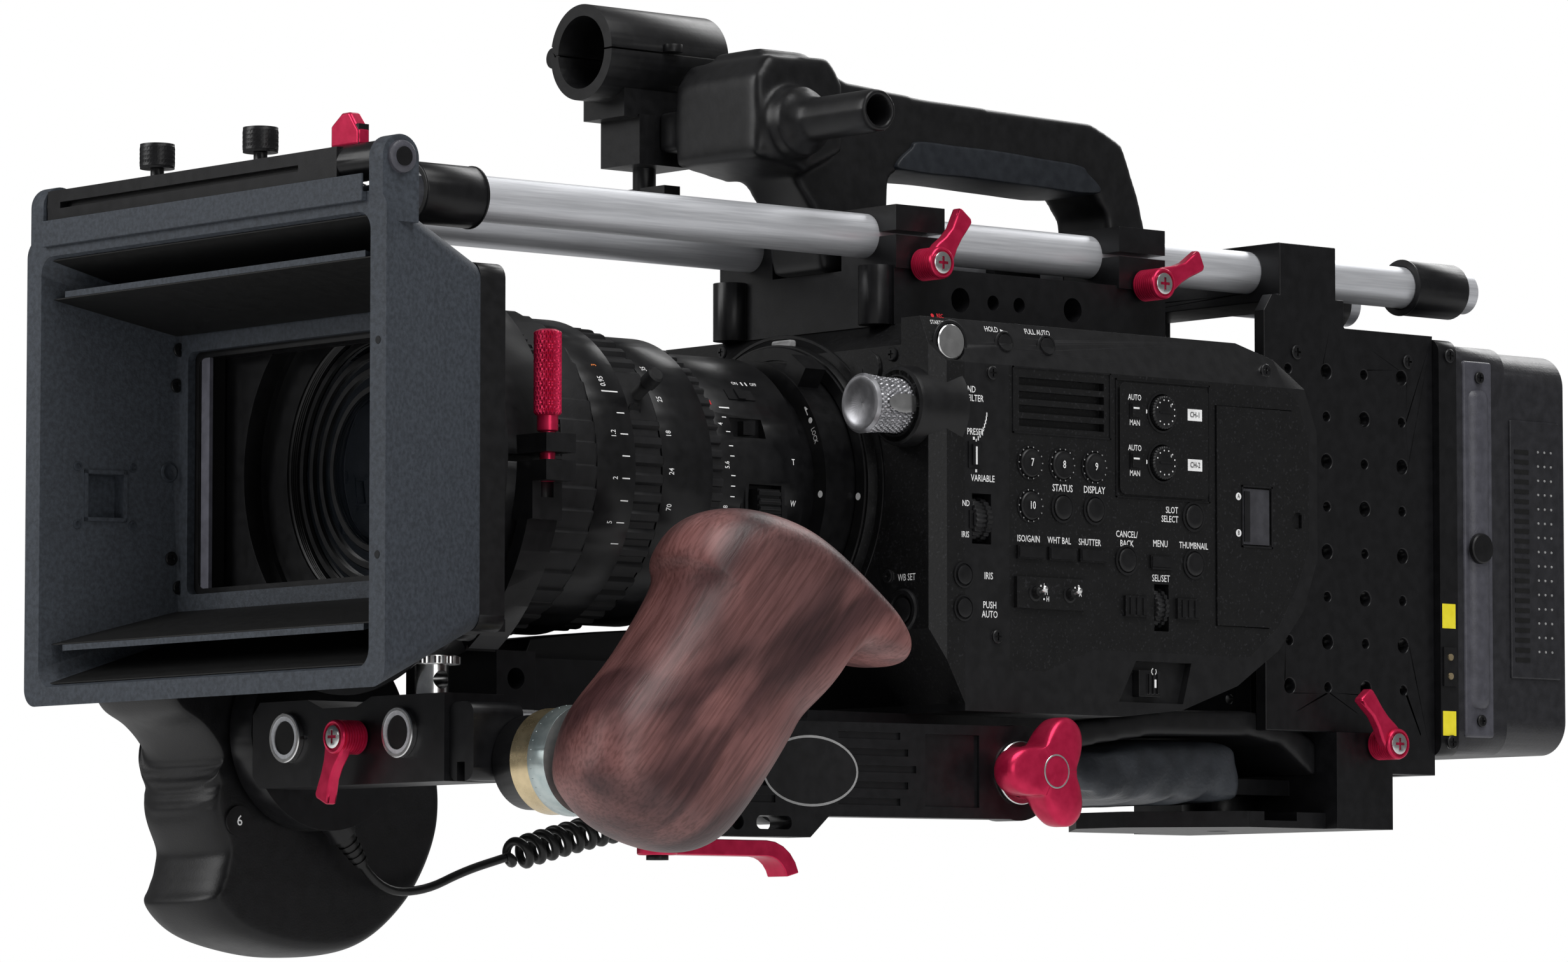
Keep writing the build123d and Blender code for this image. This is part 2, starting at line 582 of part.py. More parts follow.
zoom_pin_angle = 30.0
pin_dir = (cos(radians(zoom_pin_angle)), 0.0, sin(radians(zoom_pin_angle)))
with BuildPart() as zoom_ring:
    toothed_ring(zoom_y0, zoom_y1, 45.0 + run_fit, 50.2, 54, 1.0, 2.8)
    pin_plane = Plane(
        origin=(47.0 * pin_dir[0], -304.5, lens_z + 47.0 * pin_dir[2]),
        x_dir=(0, 1, 0),
        z_dir=pin_dir,
    )
    with BuildSketch(pin_plane):
        Circle(2.2)
    extrude(amount=15.0)
    with BuildSketch(pin_plane.offset(8.0)):
        Circle(2.8)
    extrude(amount=7.0)
save(zoom_ring.part, "zoom_ring")

with BuildPart() as iris_ring:
    toothed_ring(iris_y0, iris_y1, 41.0 + run_fit, 46.2, 60, 0.9, 2.2)
save(iris_ring.part, "iris_ring")

with BuildPart() as zoom_group:
    ring_y(-306.0, -290.0, 26.0, 36.0 - run_fit)
    cyl_y(0.0, lens_z, -301.0, -295.0, 26.5)
save(zoom_group.part, "zoom_group")

with BuildPart() as lock_ring:
    ring_y(-223.5, casing_front_y - 4.3, 37.8 + run_fit, 44.0)
    # finger tab
    tab_plane = Plane(
        origin=(46.0 * cos(radians(55.0)), -223.0, lens_z + 46.0 * sin(radians(55.0))),
        x_dir=(cos(radians(55.0)), 0, sin(radians(55.0))),
        z_dir=(0, 1, 0),
    )
    with BuildSketch(tab_plane):
        Rectangle(10.0, 9.0)
    extrude(amount=9.0)
save(lock_ring.part, "lock_ring")

rocker_z = 97.0
with BuildPart() as zoom_rocker:
    block(40.4, 45.6, -254.8, -245.2, rocker_z - 10.5, rocker_z + 10.5)
    for rib in range(7):
        rib_z = rocker_z - 9.6 + rib * 3.0
        block(45.0, 46.4, -254.8, -245.2, rib_z, rib_z + 1.2)
    cyl_y(41.0, rocker_z, -256.0, -244.0, 1.0 + run_fit, mode=Mode.SUBTRACT)
    block(40.0, 41.0, -256.0, -244.0, rocker_z - 1.06, rocker_z + 1.06, mode=Mode.SUBTRACT)
save(zoom_rocker.part, "zoom_rocker")

# ---------------------------------------------------------------- matte box
hood_half_w = 97.0
hood_z0 = 34.5
hood_z1 = 187.5
hood_back_half_w = 80.0
hood_back_z0 = 54.0
hood_back_z1 = 170.0
aperture_half_w = 72.0
aperture_z0 = 72.0
aperture_z1 = 152.0
flag_axis_y = -441.0
flag_axis_z = 198.0


def flared_box(y0, half0, low0, high0, y1, half1, low1, high1, mode=Mode.ADD):
    mid0 = (low0 + high0) / 2
    mid1 = (low1 + high1) / 2
    with BuildSketch(Plane(origin=(0, y0, mid0), x_dir=(-1, 0, 0), z_dir=(0, 1, 0))) as front:
        RectangleRounded(half0 * 2, high0 - low0, 6.0)
    with BuildSketch(Plane(origin=(0, y1, mid1), x_dir=(-1, 0, 0), z_dir=(0, 1, 0))) as back:
        RectangleRounded(half1 * 2, high1 - low1, 6.0)
    loft([front.sketch, back.sketch], mode=mode)


with BuildPart() as hood:
    flared_box(hood_front_y, hood_half_w, hood_z0, hood_z1,
               hood_back_y, hood_back_half_w, hood_back_z0, hood_back_z1)
    # two ears for the flag bar
    for side in (-1, 1):
        x0 = min(side * 88.0, side * 95.0)
        x1 = max(side * 88.0, side * 95.0)
        block(x0, x1, flag_axis_y - 7.0, flag_axis_y + 7.0, 178.0, flag_axis_z)
        cyl_x(flag_axis_y, flag_axis_z, x0, x1, 7.0)
    flared_box(hood_front_y - 0.5, hood_half_w - 8.0, hood_z0 + 6.0, hood_z1 - 6.0,
               hood_back_y - 3.0, hood_back_half_w - 3.5, hood_back_z0 + 3.5, hood_back_z1 - 3.5,
               mode=Mode.SUBTRACT)
    rounded_y(-aperture_half_w, aperture_half_w, aperture_z0, aperture_z1,
              hood_back_y - 4.0, hood_back_y + 1.0, 3.0, mode=Mode.SUBTRACT)
    cyl_x(flag_axis_y, flag_axis_z, -96.0, 96.0, 3.0 + run_fit, mode=Mode.SUBTRACT)
    # square accessory recess on the inside of the right wall
    block(-86.5, -80.0, -432.0, -420.0, 97.0, 111.0, mode=Mode.SUBTRACT)
    # upper and lower baffle
    prism_x([(-444.0, 168.0), (-402.0, 158.0), (-402.0, 160.0), (-444.0, 170.0)], -81.0, 81.0)
    prism_x([(-444.0, 52.5), (-402.0, 64.0), (-402.0, 66.0), (-444.0, 54.5)], -81.0, 81.0)
save(hood.part, "mattebox_hood")

with BuildPart() as flag_bar:
    cyl_x(flag_axis_y, flag_axis_z, -87.6, 87.6, 6.0)
    block(-87.0, 70.0, flag_axis_y - 6.0, flag_axis_y + 6.0, flag_axis_z - 5.0, flag_axis_z + 5.0)
    # flag slot along the front edge
    block(-80.0, 50.0, flag_axis_y - 7.0, flag_axis_y - 3.0, flag_axis_z - 1.0, flag_axis_z + 1.0,
          mode=Mode.SUBTRACT)
    cyl_x(flag_axis_y, flag_axis_z, -97.0, 97.0, 3.0)
    # thumb screws
    for knob_x in (-34.0, 22.0):
        cyl_z(knob_x, flag_axis_y, flag_axis_z, flag_axis_z + 10.0, 2.2)
        cyl_z(knob_x, flag_axis_y, flag_axis_z + 8.0, flag_axis_z + 16.0, 5.6)
    # small wing that locks the bar
    block(62.0, 76.0, flag_axis_y - 2.0, flag_axis_y + 2.0, flag_axis_z, flag_axis_z + 12.0)
save(flag_bar.part, "flag_bar")

tray_slot_y = -395.5
stage_ring_y = -388.0
stage_ring_r = 74.0
latch_spots = {"latch_top": (42.0, 165.0, 1.0), "latch_bottom": (44.0, 59.0, -1.0)}
with BuildPart() as filter_stage:
    rounded_y(-hood_back_half_w, hood_back_half_w, hood_back_z0, hood_back_z1,
              hood_back_y, stage_ring_y, 5.0)
    rounded_y(-70.0, 70.0, 74.0, 150.0, hood_back_y - 1.0, stage_ring_y + 1.0, 3.0,
              mode=Mode.SUBTRACT)
    # round collar that takes the clamp adaptor
    ring_y(stage_ring_y - 1.0, stage_back_y, 57.0 + rod_fit, stage_ring_r)
    # flat underneath, clear of the post on the front bracket
    block(-76.0, 76.0, stage_ring_y, stage_back_y + 1.0, 30.0, 50.0, mode=Mode.SUBTRACT)
    # tray slot, open on the right side
    block(-81.0, 76.0, tray_slot_y, tray_slot_y + 5.6, 60.0, 164.0, mode=Mode.SUBTRACT)
    # latch pins with their heads
    for x, z, turn in latch_spots.values():
        cyl_y(x, z, stage_back_y - 0.5, stage_back_y + 8.4, 2.0)
        cyl_y(x, z, stage_back_y + 8.3, stage_back_y + 9.6, 3.6)
save(filter_stage.part, "filter_stage")

with BuildPart() as filter_tray:
    block(-79.0, 75.5, tray_slot_y + 0.4, tray_slot_y + 5.2, 60.5, 163.5)
    block(-66.0, 66.0, tray_slot_y, tray_slot_y + 6.0, 71.0, 153.0, mode=Mode.SUBTRACT)
    # finger grip on the open side
    block(-84.0, -78.5, tray_slot_y + 1.0, tray_slot_y + 4.6, 96.0, 128.0)
save(filter_tray.part, "filter_tray")

for latch_name, (x, z, turn) in latch_spots.items():
    with BuildPart() as latch:
        cyl_y(x, z, stage_back_y + 0.3, stage_back_y + 8.0, 6.0)
        wing = [(x, z - 5.0), (x + 14.0, z - 3.0), (x + 20.0, z + turn * 2.0 - 2.0),
                (x + 20.0, z + turn * 2.0 + 2.0), (x + 13.0, z + 4.0), (x, z + 5.6)]
        prism_y(wing, stage_back_y + 0.3, stage_back_y + 7.0)
        cyl_y(x, z, stage_back_y - 0.5, stage_back_y + 9.0, 2.0 + run_fit, mode=Mode.SUBTRACT)
    save(latch.part, latch_name)

handle_screw_at = (70.0, -363.0)
with BuildPart() as clamp_adaptor:
    ring_y(stage_back_y, -354.5, 57.0 + rod_fit, 62.0)
    # clamp lugs above and below the split
    block(58.0, 77.0, -369.0, -357.0, 103.0, 118.0)
    cyl_y(0.0, lens_z, stage_back_y - 1.0, -354.0, 57.0 + rod_fit, mode=Mode.SUBTRACT)
    block(55.0, 78.0, stage_back_y - 1.0, -354.0, 109.5, 112.0, mode=Mode.SUBTRACT)
    # curved strap under the lugs
    strap = []
    for step in range(9):
        angle = radians(-14.0 - step * 5.5)
        strap.append((70.5 * cos(angle), lens_z + 70.5 * sin(angle)))
    for step in range(9):
        angle = radians(-58.0 + step * 5.5)
        strap.append((65.5 * cos(angle), lens_z + 65.5 * sin(angle)))
    prism_y(strap, -369.0, -357.0)
    block(60.0, 70.0, -369.0, -357.0, 91.0, 104.0)
    prism_y([(30.0, 60.0), (36.0, 50.5), (37.5, 55.0), (33.0, 62.5)], -369.0, -357.0)
    cyl_z(handle_screw_at[0], handle_screw_at[1], 98.0, 119.0, 2.5 + run_fit, mode=Mode.SUBTRACT)
save(clamp_adaptor.part, "clamp_adaptor")

with BuildPart() as clamp_handle:
    cyl_z(handle_screw_at[0], handle_screw_at[1], 103.0, 122.0, 2.5)
    cyl_z(handle_screw_at[0], handle_screw_at[1], 118.6, 124.0, 3.4)
    cyl_z(handle_screw_at[0], handle_screw_at[1], 124.0, 153.0, 4.4)
save(clamp_handle.part, "clamp_handle")

# ---------------------------------------------------------------- lower rods, base and shoulder
bracket_y0 = -390.0
bracket_y1 = -366.0
base_y0 = -235.0
base_y1 = -125.0
arm_pivot = (-166.0, 15.0)
arm_x0 = 65.0
arm_x1 = 76.0

with BuildPart() as lower_rods:
    for side in (-1, 1):
        cyl_y(side * rod_half_gap, low_rod_z, -392.0, -135.0, rod_r)
        cyl_y(side * rod_half_gap, low_rod_z, -393.0, -134.0, 5.5, mode=Mode.SUBTRACT)
save(lower_rods.part, "lower_rods")

with BuildPart() as front_bracket:
    prism_y([(-50.0, 12.0), (-46.0, 8.0), (52.0, 8.0), (52.0, 36.0), (14.0, 36.0), (6.0, 33.0),
             (-12.0, 33.0), (-20.0, 36.0), (-46.0, 36.0), (-50.0, 32.0)], bracket_y0, bracket_y1)
    for side in (-1, 1):
        cyl_y(side * rod_half_gap, low_rod_z, bracket_y0 - 1.0, bracket_y1 + 1.0, rod_r + rod_fit,
              mode=Mode.SUBTRACT)
        # saw cut beside each rod
        cut0 = min(side * 20.0, side * 27.0)
        cut1 = max(side * 20.0, side * 27.0)
        block(cut0, cut1, bracket_y0 - 1.0, bracket_y1 + 1.0, 23.4, 24.6, mode=Mode.SUBTRACT)
    # side block with its slot
    rounded_y(52.0, 64.4, 8.0, 33.0, bracket_y0 + 2.0, bracket_y1 - 2.0, 4.0)
    block(56.0, 60.0, bracket_y0 + 1.0, bracket_y0 + 8.0, 7.0, 14.0, mode=Mode.SUBTRACT)
save(front_bracket.part, "front_bracket")

with BuildPart() as base_plate:
    block(-48.0, 48.0, base_y0, base_y1, 8.0, body_bottom_z)
    block(-18.0, 18.0, base_y0 + 12.0, base_y1 - 12.0, 7.0, 30.0, mode=Mode.SUBTRACT)
    for side in (-1, 1):
        cyl_y(side * rod_half_gap, low_rod_z, base_y0 - 1.0, -134.0, rod_r + rod_fit,
              mode=Mode.SUBTRACT)
    # lens support that reaches forward under the lens
    block(-22.0, 22.0, -332.0, -214.0, body_bottom_z - 2.0, 50.0)
    block(-24.0, 24.0, -347.0, -331.0, body_bottom_z - 2.0, 52.0)
    cyl_x(-339.0, 43.0, -25.0, 25.0, 3.5, mode=Mode.SUBTRACT)
    # rosettes on both sides and the bore of the arm's bolt
    cyl_x(arm_pivot[0], arm_pivot[1], 47.0, arm_x0 - 0.2, 14.5)
    cyl_x(arm_pivot[0], arm_pivot[1], -58.0, -47.0, 14.5)
    cyl_x(arm_pivot[0], arm_pivot[1], 38.0, arm_x0 + 1.0, 4.0 + run_fit, mode=Mode.SUBTRACT)
save(base_plate.part, "base_plate")

arch_profile = [
    (base_y1, 33.5),
    (-112.0, 34.5),
    (-95.0, 36.5),
    (-70.0, 40.0),
    (-25.0, 41.0),
    (-6.0, 38.0),
    (8.0, 31.0),
    (8.0, 18.0),
    (2.0, 22.0),
    (-8.0, 29.0),
    (-25.0, 32.0),
    (-72.0, 31.0),
    (-97.0, 27.5),
    (-114.0, 24.0),
    (base_y1, 22.0),
]
pad_profile = [
    (-120.0, 21.5),
    (-113.5, 23.5),
    (-97.0, 27.0),
    (-72.0, 30.5),
    (-25.5, 31.5),
    (-24.0, 26.0),
    (-24.0, 11.0),
    (-28.0, 7.5),
    (-60.0, 7.5),
    (-62.0, 6.0),
    (-96.0, 6.0),
    (-112.0, 11.0),
]
with BuildPart() as shoulder_arch:
    prism_x(arch_profile, -42.0, 42.0)
save(shoulder_arch.part, "shoulder_arch")

with BuildPart() as shoulder_pad:
    prism_x(pad_profile, -44.0, 44.0)
save(shoulder_pad.part, "shoulder_pad")

with BuildPart() as wedge_base:
    # wedge plate with its pointed front
    prism_z([(-46.0, 8.0), (-46.0, -30.0), (-12.0, -58.0), (12.0, -58.0), (46.0, -30.0), (46.0, 8.0)],
            0.0, 5.6)
    for side in (-1, 1):
        x0 = min(side * 22.0, side * 47.0)
        x1 = max(side * 22.0, side * 47.0)
        block(x0, x1, -22.0, -6.0, 2.5, 7.0, mode=Mode.SUBTRACT)
    cyl_z(0.0, 0.0, 0.0, 14.0, 13.0)
    block(-28.0, 28.0, -20.0, 8.0, 12.0, 17.5)
    # rear block
    block(-52.0, 52.0, 8.0, 36.0, 0.0, 34.0)
    block(-34.0, 34.0, 7.0, 37.0, 20.0, 28.0, mode=Mode.SUBTRACT)
    cyl_z(0.0, 0.0, -1.0, 10.0, tripod_r, mode=Mode.SUBTRACT)
save(wedge_base.part, "wedge_base")

# ---------------------------------------------------------------- rear cage, battery plate, battery
cage_rear_y = 63.0
plate_rear_y = 72.0
battery_y1 = 130.0
with BuildPart() as rear_cage:
    side_outline = [(-22.0, 34.0), (36.5, 34.0), (36.5, 20.0), (cage_rear_y, 20.0),
                    (cage_rear_y, 178.0), (18.0, 178.0), (18.0, 188.0), (-18.0, 188.0),
                    (-22.0, 182.0)]
    for side in (-1, 1):
        x0 = min(side * 42.0, side * 47.0)
        x1 = max(side * 42.0, side * 47.0)
        prism_x(side_outline, x0, x1)
        for row in range(8):
            hole_z = 50.0 + row * 16.0
            for col in range(4):
                hole_y = -10.0 + col * 19.0
                hole_r = 2.6 if (row + col) % 2 == 0 else 1.7
                cyl_x(hole_y, hole_z, x0 - 1.0, x1 + 1.0, hole_r, mode=Mode.SUBTRACT)
    block(-42.0, 42.0, cage_rear_y - 5.0, cage_rear_y, 20.0, 178.0)
    block(-47.0, 47.0, -14.0, 14.0, 186.0, 206.5)
    for side in (-1, 1):
        cyl_y(side * rod_half_gap, top_rod_z, -15.0, 15.0, rod_r + rod_fit, mode=Mode.SUBTRACT)
    block(-14.0, 14.0, cage_rear_y - 6.0, cage_rear_y + 1.0, 60.0, 140.0, mode=Mode.SUBTRACT)
save(rear_cage.part, "rear_cage")

wedge_low = [(-20.0, 62.0), (20.0, 62.0), (30.0, 140.0), (30.0, 178.0), (-30.0, 178.0), (-30.0, 140.0)]
with BuildPart() as battery_plate:
    rounded_y(-50.0, 50.0, 27.0, 177.0, cage_rear_y, plate_rear_y, 5.0)
    prism_y(wedge_low, plate_rear_y - 5.0, plate_rear_y + 1.0, mode=Mode.SUBTRACT)
    # contact pins
    for pin in range(4):
        block(-12.0 + pin * 6.6, -9.6 + pin * 6.6, plate_rear_y - 5.5, plate_rear_y - 2.6, 70.0, 84.0)
save(battery_plate.part, "battery_plate")

wedge_male = [(-19.6, 62.6), (19.6, 62.6), (29.6, 140.2), (29.6, 172.0), (-29.6, 172.0), (-29.6, 140.2)]
with BuildPart() as battery:
    rounded_y(-49.0, 49.0, 28.0, 176.0, plate_rear_y + 0.4, 98.0, 9.0)
    rounded_y(-48.0, 48.0, 29.0, 175.0, 98.0, battery_y1, 12.0)
    rounded_y(-26.0, 26.0, 56.0, 150.0, battery_y1 - 1.0, battery_y1 + 2.5, 5.0)
    prism_y(wedge_male, plate_rear_y - 2.2, plate_rear_y + 1.0)
save(battery.part, "battery")

# ---------------------------------------------------------------- red levers
with BuildPart() as lever_top_front:
    lever_x(46.3, -183.0, 186.5, 13.0, 16.0)
save(lever_top_front.part, "lever_top_front")

with BuildPart() as lever_top_rear:
    lever_x(46.3, -80.0, 186.5, 19.0, 9.0)
save(lever_top_rear.part, "lever_top_rear")

with BuildPart() as lever_rear:
    lever_x(52.3, 28.0, 30.0, -14.0, 17.0)
save(lever_rear.part, "lever_rear")

bracket_lever_at = (8.0, 23.0)
with BuildPart() as lever_bracket:
    hub_x, hub_z = bracket_lever_at
    cyl_y(hub_x, hub_z, bracket_y0 - 11.0, bracket_y0 - 0.3, 5.6)
    prism_y([(hub_x - 4.6, hub_z + 1.0), (hub_x + 4.4, hub_z - 2.0), (hub_x - 2.0, hub_z - 12.0),
             (hub_x - 5.0, hub_z - 20.0), (hub_x - 11.0, hub_z - 20.0), (hub_x - 8.0, hub_z - 9.0)],
            bracket_y0 - 10.0, bracket_y0 - 5.5)
save(lever_bracket.part, "lever_bracket")

# ---------------------------------------------------------------- left arm and wooden grip
grip_pivot = (-366.0, 14.0)
arm_lever_at = (70.5, -318.0)
with BuildPart() as side_arm:
    cyl_x(arm_pivot[0], arm_pivot[1], arm_x0, arm_x1, 16.0)
    cyl_x(grip_pivot[0], grip_pivot[1], arm_x0, arm_x1, 15.0)
    prism_x([(arm_pivot[0], 30.5), (arm_pivot[0], -0.5), (-250.0, -1.0), (-258.0, -8.0),
             (-300.0, -8.0), (-306.0, -1.0), (grip_pivot[0], -1.0), (grip_pivot[0], 29.0)],
            arm_x0, arm_x1)
    # grip slots on the outer face, five rows on each side of the badge
    for row in range(5):
        row_z = 3.0 + row * 5.4
        shift = 3.5 * abs(row - 2)
        for y0, y1 in ((-304.0 + shift, -276.0 - 4.0 + shift), (-239.0 - shift, -212.0 - shift)):
            block(arm_x1 - 0.9, arm_x1 + 1.0, y0, y1, row_z, row_z + 2.4, mode=Mode.SUBTRACT)
    # recess before the joint, threaded hole and adjusting slot in the lip
    block(arm_x1 - 1.2, arm_x1 + 1.0, -208.0, -184.0, 3.0, 27.0, mode=Mode.SUBTRACT)
    cyl_x(-289.0, -3.4, arm_x0 - 1.0, arm_x1 + 1.0, 2.6, mode=Mode.SUBTRACT)
    rounded_x(-281.0, -266.0, -5.6, -1.2, arm_x0 - 1.0, arm_x1 + 1.0, 2.0, mode=Mode.SUBTRACT)
    cyl_x(arm_pivot[0], arm_pivot[1], arm_x0 - 1.0, arm_x1 + 1.0, 4.0 + run_fit, mode=Mode.SUBTRACT)
    # pivot of the locking lever under the arm
    cyl_z(arm_lever_at[0], arm_lever_at[1], -14.6, 0.0, 2.5)
    cyl_z(arm_lever_at[0], arm_lever_at[1], -16.2, -14.6, 3.6)
    # rosette that holds the wooden grip
    cyl_x(grip_pivot[0], grip_pivot[1], arm_x1 - 0.5, 85.5, 16.0)
    cyl_x(grip_pivot[0], grip_pivot[1], arm_x1 - 1.0, 86.0, 5.0 + run_fit, mode=Mode.SUBTRACT)
save(side_arm.part, "side_arm")

with BuildPart() as lever_arm:
    lever_x0 = arm_lever_at[0] - 5.0
    lever_y0 = arm_lever_at[1]
    cyl_z(arm_lever_at[0], lever_y0, -14.4, -9.2, 6.5)
    block(lever_x0, lever_x0 + 10.0, lever_y0, -272.0, -14.4, -9.2)
    prism_x([(-272.0, -9.2), (-266.0, -10.0), (-262.0, -14.0), (-260.5, -20.0), (-267.0, -20.0),
             (-268.0, -16.0), (-272.0, -14.4)], lever_x0, lever_x0 + 10.0)
    cyl_z(arm_lever_at[0], lever_y0, -15.0, -9.0, 2.5 + run_fit, mode=Mode.SUBTRACT)
save(lever_arm.part, "lever_arm")

with BuildPart() as wing_knob:
    cyl_x(arm_pivot[0], arm_pivot[1], 40.0, 78.0, 4.0)
    cyl_x(arm_pivot[0], arm_pivot[1], arm_x1 + 0.4, 80.0, 8.0)
    cyl_x(arm_pivot[0], arm_pivot[1], 79.0, 95.0, 8.5)
    for lobe in range(3):
        angle = radians(90.0 + 120.0 * lobe)
        lobe_y = arm_pivot[0] + 15.0 * cos(angle)
        lobe_z = arm_pivot[1] + 15.0 * sin(angle)
        side_y = 5.0 * sin(angle)
        side_z = -5.0 * cos(angle)
        prism_x([(arm_pivot[0] + side_y, arm_pivot[1] + side_z), (lobe_y + side_y, lobe_z + side_z),
                 (lobe_y - side_y, lobe_z - side_z), (arm_pivot[0] - side_y, arm_pivot[1] - side_z)],
                83.0, 93.0)
        cyl_x(lobe_y, lobe_z, 83.0, 93.0, 5.0)
save(wing_knob.part, "wing_knob")

with BuildPart() as grip_rosette:
    cyl_x(grip_pivot[0], grip_pivot[1], 77.0, 87.0, 5.0)
    cyl_x(grip_pivot[0], grip_pivot[1], 85.8, 94.0, 17.5)
save(grip_rosette.part, "grip_rosette")

wood_outline = [(-387.0, 14.0), (-385.0, 3.0), (-371.0, -9.0), (-350.0, -15.0), (-335.0, -12.0),
                (-323.0, -2.0), (-306.0, 19.0), (-294.0, 37.0), (-282.0, 49.0), (-271.0, 47.0),
                (-260.0, 46.0), (-258.0, 54.0), (-267.0, 66.0), (-284.0, 80.0), (-301.0, 90.0),
                (-323.0, 94.0), (-339.0, 90.0), (-348.0, 80.0), (-348.0, 70.0), (-364.0, 48.0),
                (-381.0, 30.0)]
wood_sections = [(94.0, 3.4), (97.0, 1.4), (102.0, 0.0), (122.0, 0.0), (128.0, 1.2), (132.0, 3.6)]

with BuildPart() as wood_grip:
    sculpted_x(wood_outline, wood_sections)
save(wood_grip.part, "wood_grip")

# ---------------------------------------------------------------- right hand grip and its cord
hub_at = (-357.0, 27.0)
flange_x0 = -64.0
flange_x1 = -52.0
cord_r = 1.5
coil_r = 6.0
cord_x = -58.0
relief_start = Vector(cord_x, -346.8, -6.3)
relief_dir = Vector(0, 0.643, -0.766)
relief_len = 13.0
relief_end = relief_start + relief_dir * relief_len

with BuildPart() as grip_flange:
    cyl_x(hub_at[0], hub_at[1], flange_x0, flange_x1, 32.0)
    cyl_x(hub_at[0], hub_at[1], -92.0, flange_x0, 8.0)
    with BuildSketch(Plane(origin=relief_start - relief_dir * 12.0, z_dir=relief_dir)):
        Circle(5.0)
    extrude(amount=12.0)
save(grip_flange.part, "grip_flange")

with BuildPart() as cord_relief:
    with BuildSketch(Plane(origin=relief_start, z_dir=relief_dir)):
        Circle(4.0)
    with BuildSketch(Plane(origin=relief_end, z_dir=relief_dir)):
        Circle(2.6)
    loft()
save(cord_relief.part, "cord_relief")

grip_profile = [(-408.5, 34.0), (-399.0, 28.5), (-392.5, 21.0), (-391.0, 15.0), (-394.5, 8.0), (-395.5, 0.0),
                (-391.0, -13.0), (-394.0, -24.0), (-396.0, -30.0), (-387.0, -38.5),
                (-373.0, -43.5), (-353.0, -46.5), (-334.0, -44.5), (-318.0, -35.0),
                (-304.0, -19.0), (-297.0, 0.0), (-300.0, 22.0), (-318.0, 44.0), (-345.0, 52.0),
                (-385.0, 51.0), (-404.0, 48.0), (-412.0, 41.0)]
grip_x1 = -66.4
grip_sections = [(-116.0, 3.6), (-112.0, 1.4), (-106.0, 0.0), (-72.0, 0.0), (grip_x1, 1.2)]
grip_button_at = (-384.0, -2.0)
with BuildPart() as hand_grip:
    sculpted_x(grip_profile, grip_sections)
    cyl_x(hub_at[0], hub_at[1], -92.4, grip_x1 + 1.0, 8.0 + run_fit, mode=Mode.SUBTRACT)
    cyl_x(grip_button_at[0], grip_button_at[1], grip_x1 - 4.0, grip_x1 + 1.0, 5.1,
          mode=Mode.SUBTRACT)
save(hand_grip.part, "hand_grip")

with BuildPart() as grip_button:
    cyl_x(grip_button_at[0], grip_button_at[1], grip_x1 - 2.2, grip_x1 + 1.2, 5.0)
save(grip_button.part, "grip_button")


def bend_radii(points):
    radii = []
    for before, here, after in zip(points, points[1:], points[2:]):
        run_in = here - before
        run_out = after - here
        turn = radians(run_in.get_angle(run_out))
        shorter = min(run_in.length, run_out.length)
        radii.append(0.45 * shorter / tan(turn / 2))
    return radii


def tube(name, routes, r):
    length = 0.0
    with BuildPart() as made:
        for points in routes:
            radii = bend_radii(points)
            with BuildLine() as path:
                route = FilletPolyline(*points, radius=radii)
            with BuildSketch(Plane(origin=points[0], z_dir=points[1] - points[0])) as section:
                Circle(r)
            sweep(section.sketch, path=path.line)
            length += route.length
            print(name, "bend radii", [round(value, 1) for value in radii])
    ratio = made.part.volume / (pi * r * r * length)
    print(name, "length", round(length, 1), "volume over section times length", round(ratio, 4))
    save(made.part, name)


cord_route = [
    relief_end,
    relief_end + relief_dir * 10.9,
    Vector(cord_x, -313.0, -24.4),
    Vector(cord_x, -296.0, -17.3),
    Vector(cord_x, -278.0, -12.5),
]
coil_route = [
    Vector(cord_x, -278.0, -12.5),
    Vector(cord_x, -240.0, -2.367),
    Vector(-62.0, -208.0, 2.0),
    Vector(-72.0, -180.0, 9.0),
    Vector(-84.0, -158.0, 24.0),
    Vector(-86.0, -151.0, 42.0),
]
coil_end = coil_route[-1]
coil_out = (coil_route[-1] - coil_route[-2]).normalized()
plug_in = Vector(-85.6, -149.4, 54.0)
tail_route = [
    coil_end,
    coil_end + coil_out * 4.0,
    plug_in - Vector(0, 0, 4.0),
    plug_in,
]
tube("grip_cord", [cord_route, tail_route], cord_r)
tube("curly_cord", [coil_route], coil_r)

with BuildPart() as cord_plug:
    cyl_x(-149.4, 62.0, -80.0, -74.0, 3.95)
    block(-93.0, body_right_x - 0.1, -155.4, -143.4, 54.0, 70.0)
save(cord_plug.part, "cord_plug")

# ---------------------------------------------------------------- screws, one group
with BuildPart() as screws:
    for x, y, z in ((78.8, -178.0, 60.0), (78.8, -180.0, 148.0), (76.4, -50.0, 156.5)):
        screw_x(x - 2.8, x, y, z, 2.2)
    for x, z in ((-52.0, 150.0), (56.0, 80.0), (-52.0, 70.0)):
        screw_y(casing_front_y - 0.8, casing_front_y + 3.0, x, z, 2.2)
    for z in (32.0, 171.0):
        screw_x(48.0, 50.8, 68.0, z, 2.4)
    # threaded post and knurled disc on the front bracket
    cyl_z(30.0, -378.0, 36.0, 46.0, 5.5)
    cyl_z(30.0, -378.0, 46.0, 48.6, 9.0)
    cyl_x(-378.0, 41.0, 24.0, 36.0, 3.0, mode=Mode.SUBTRACT)
save(screws.part, "screws")
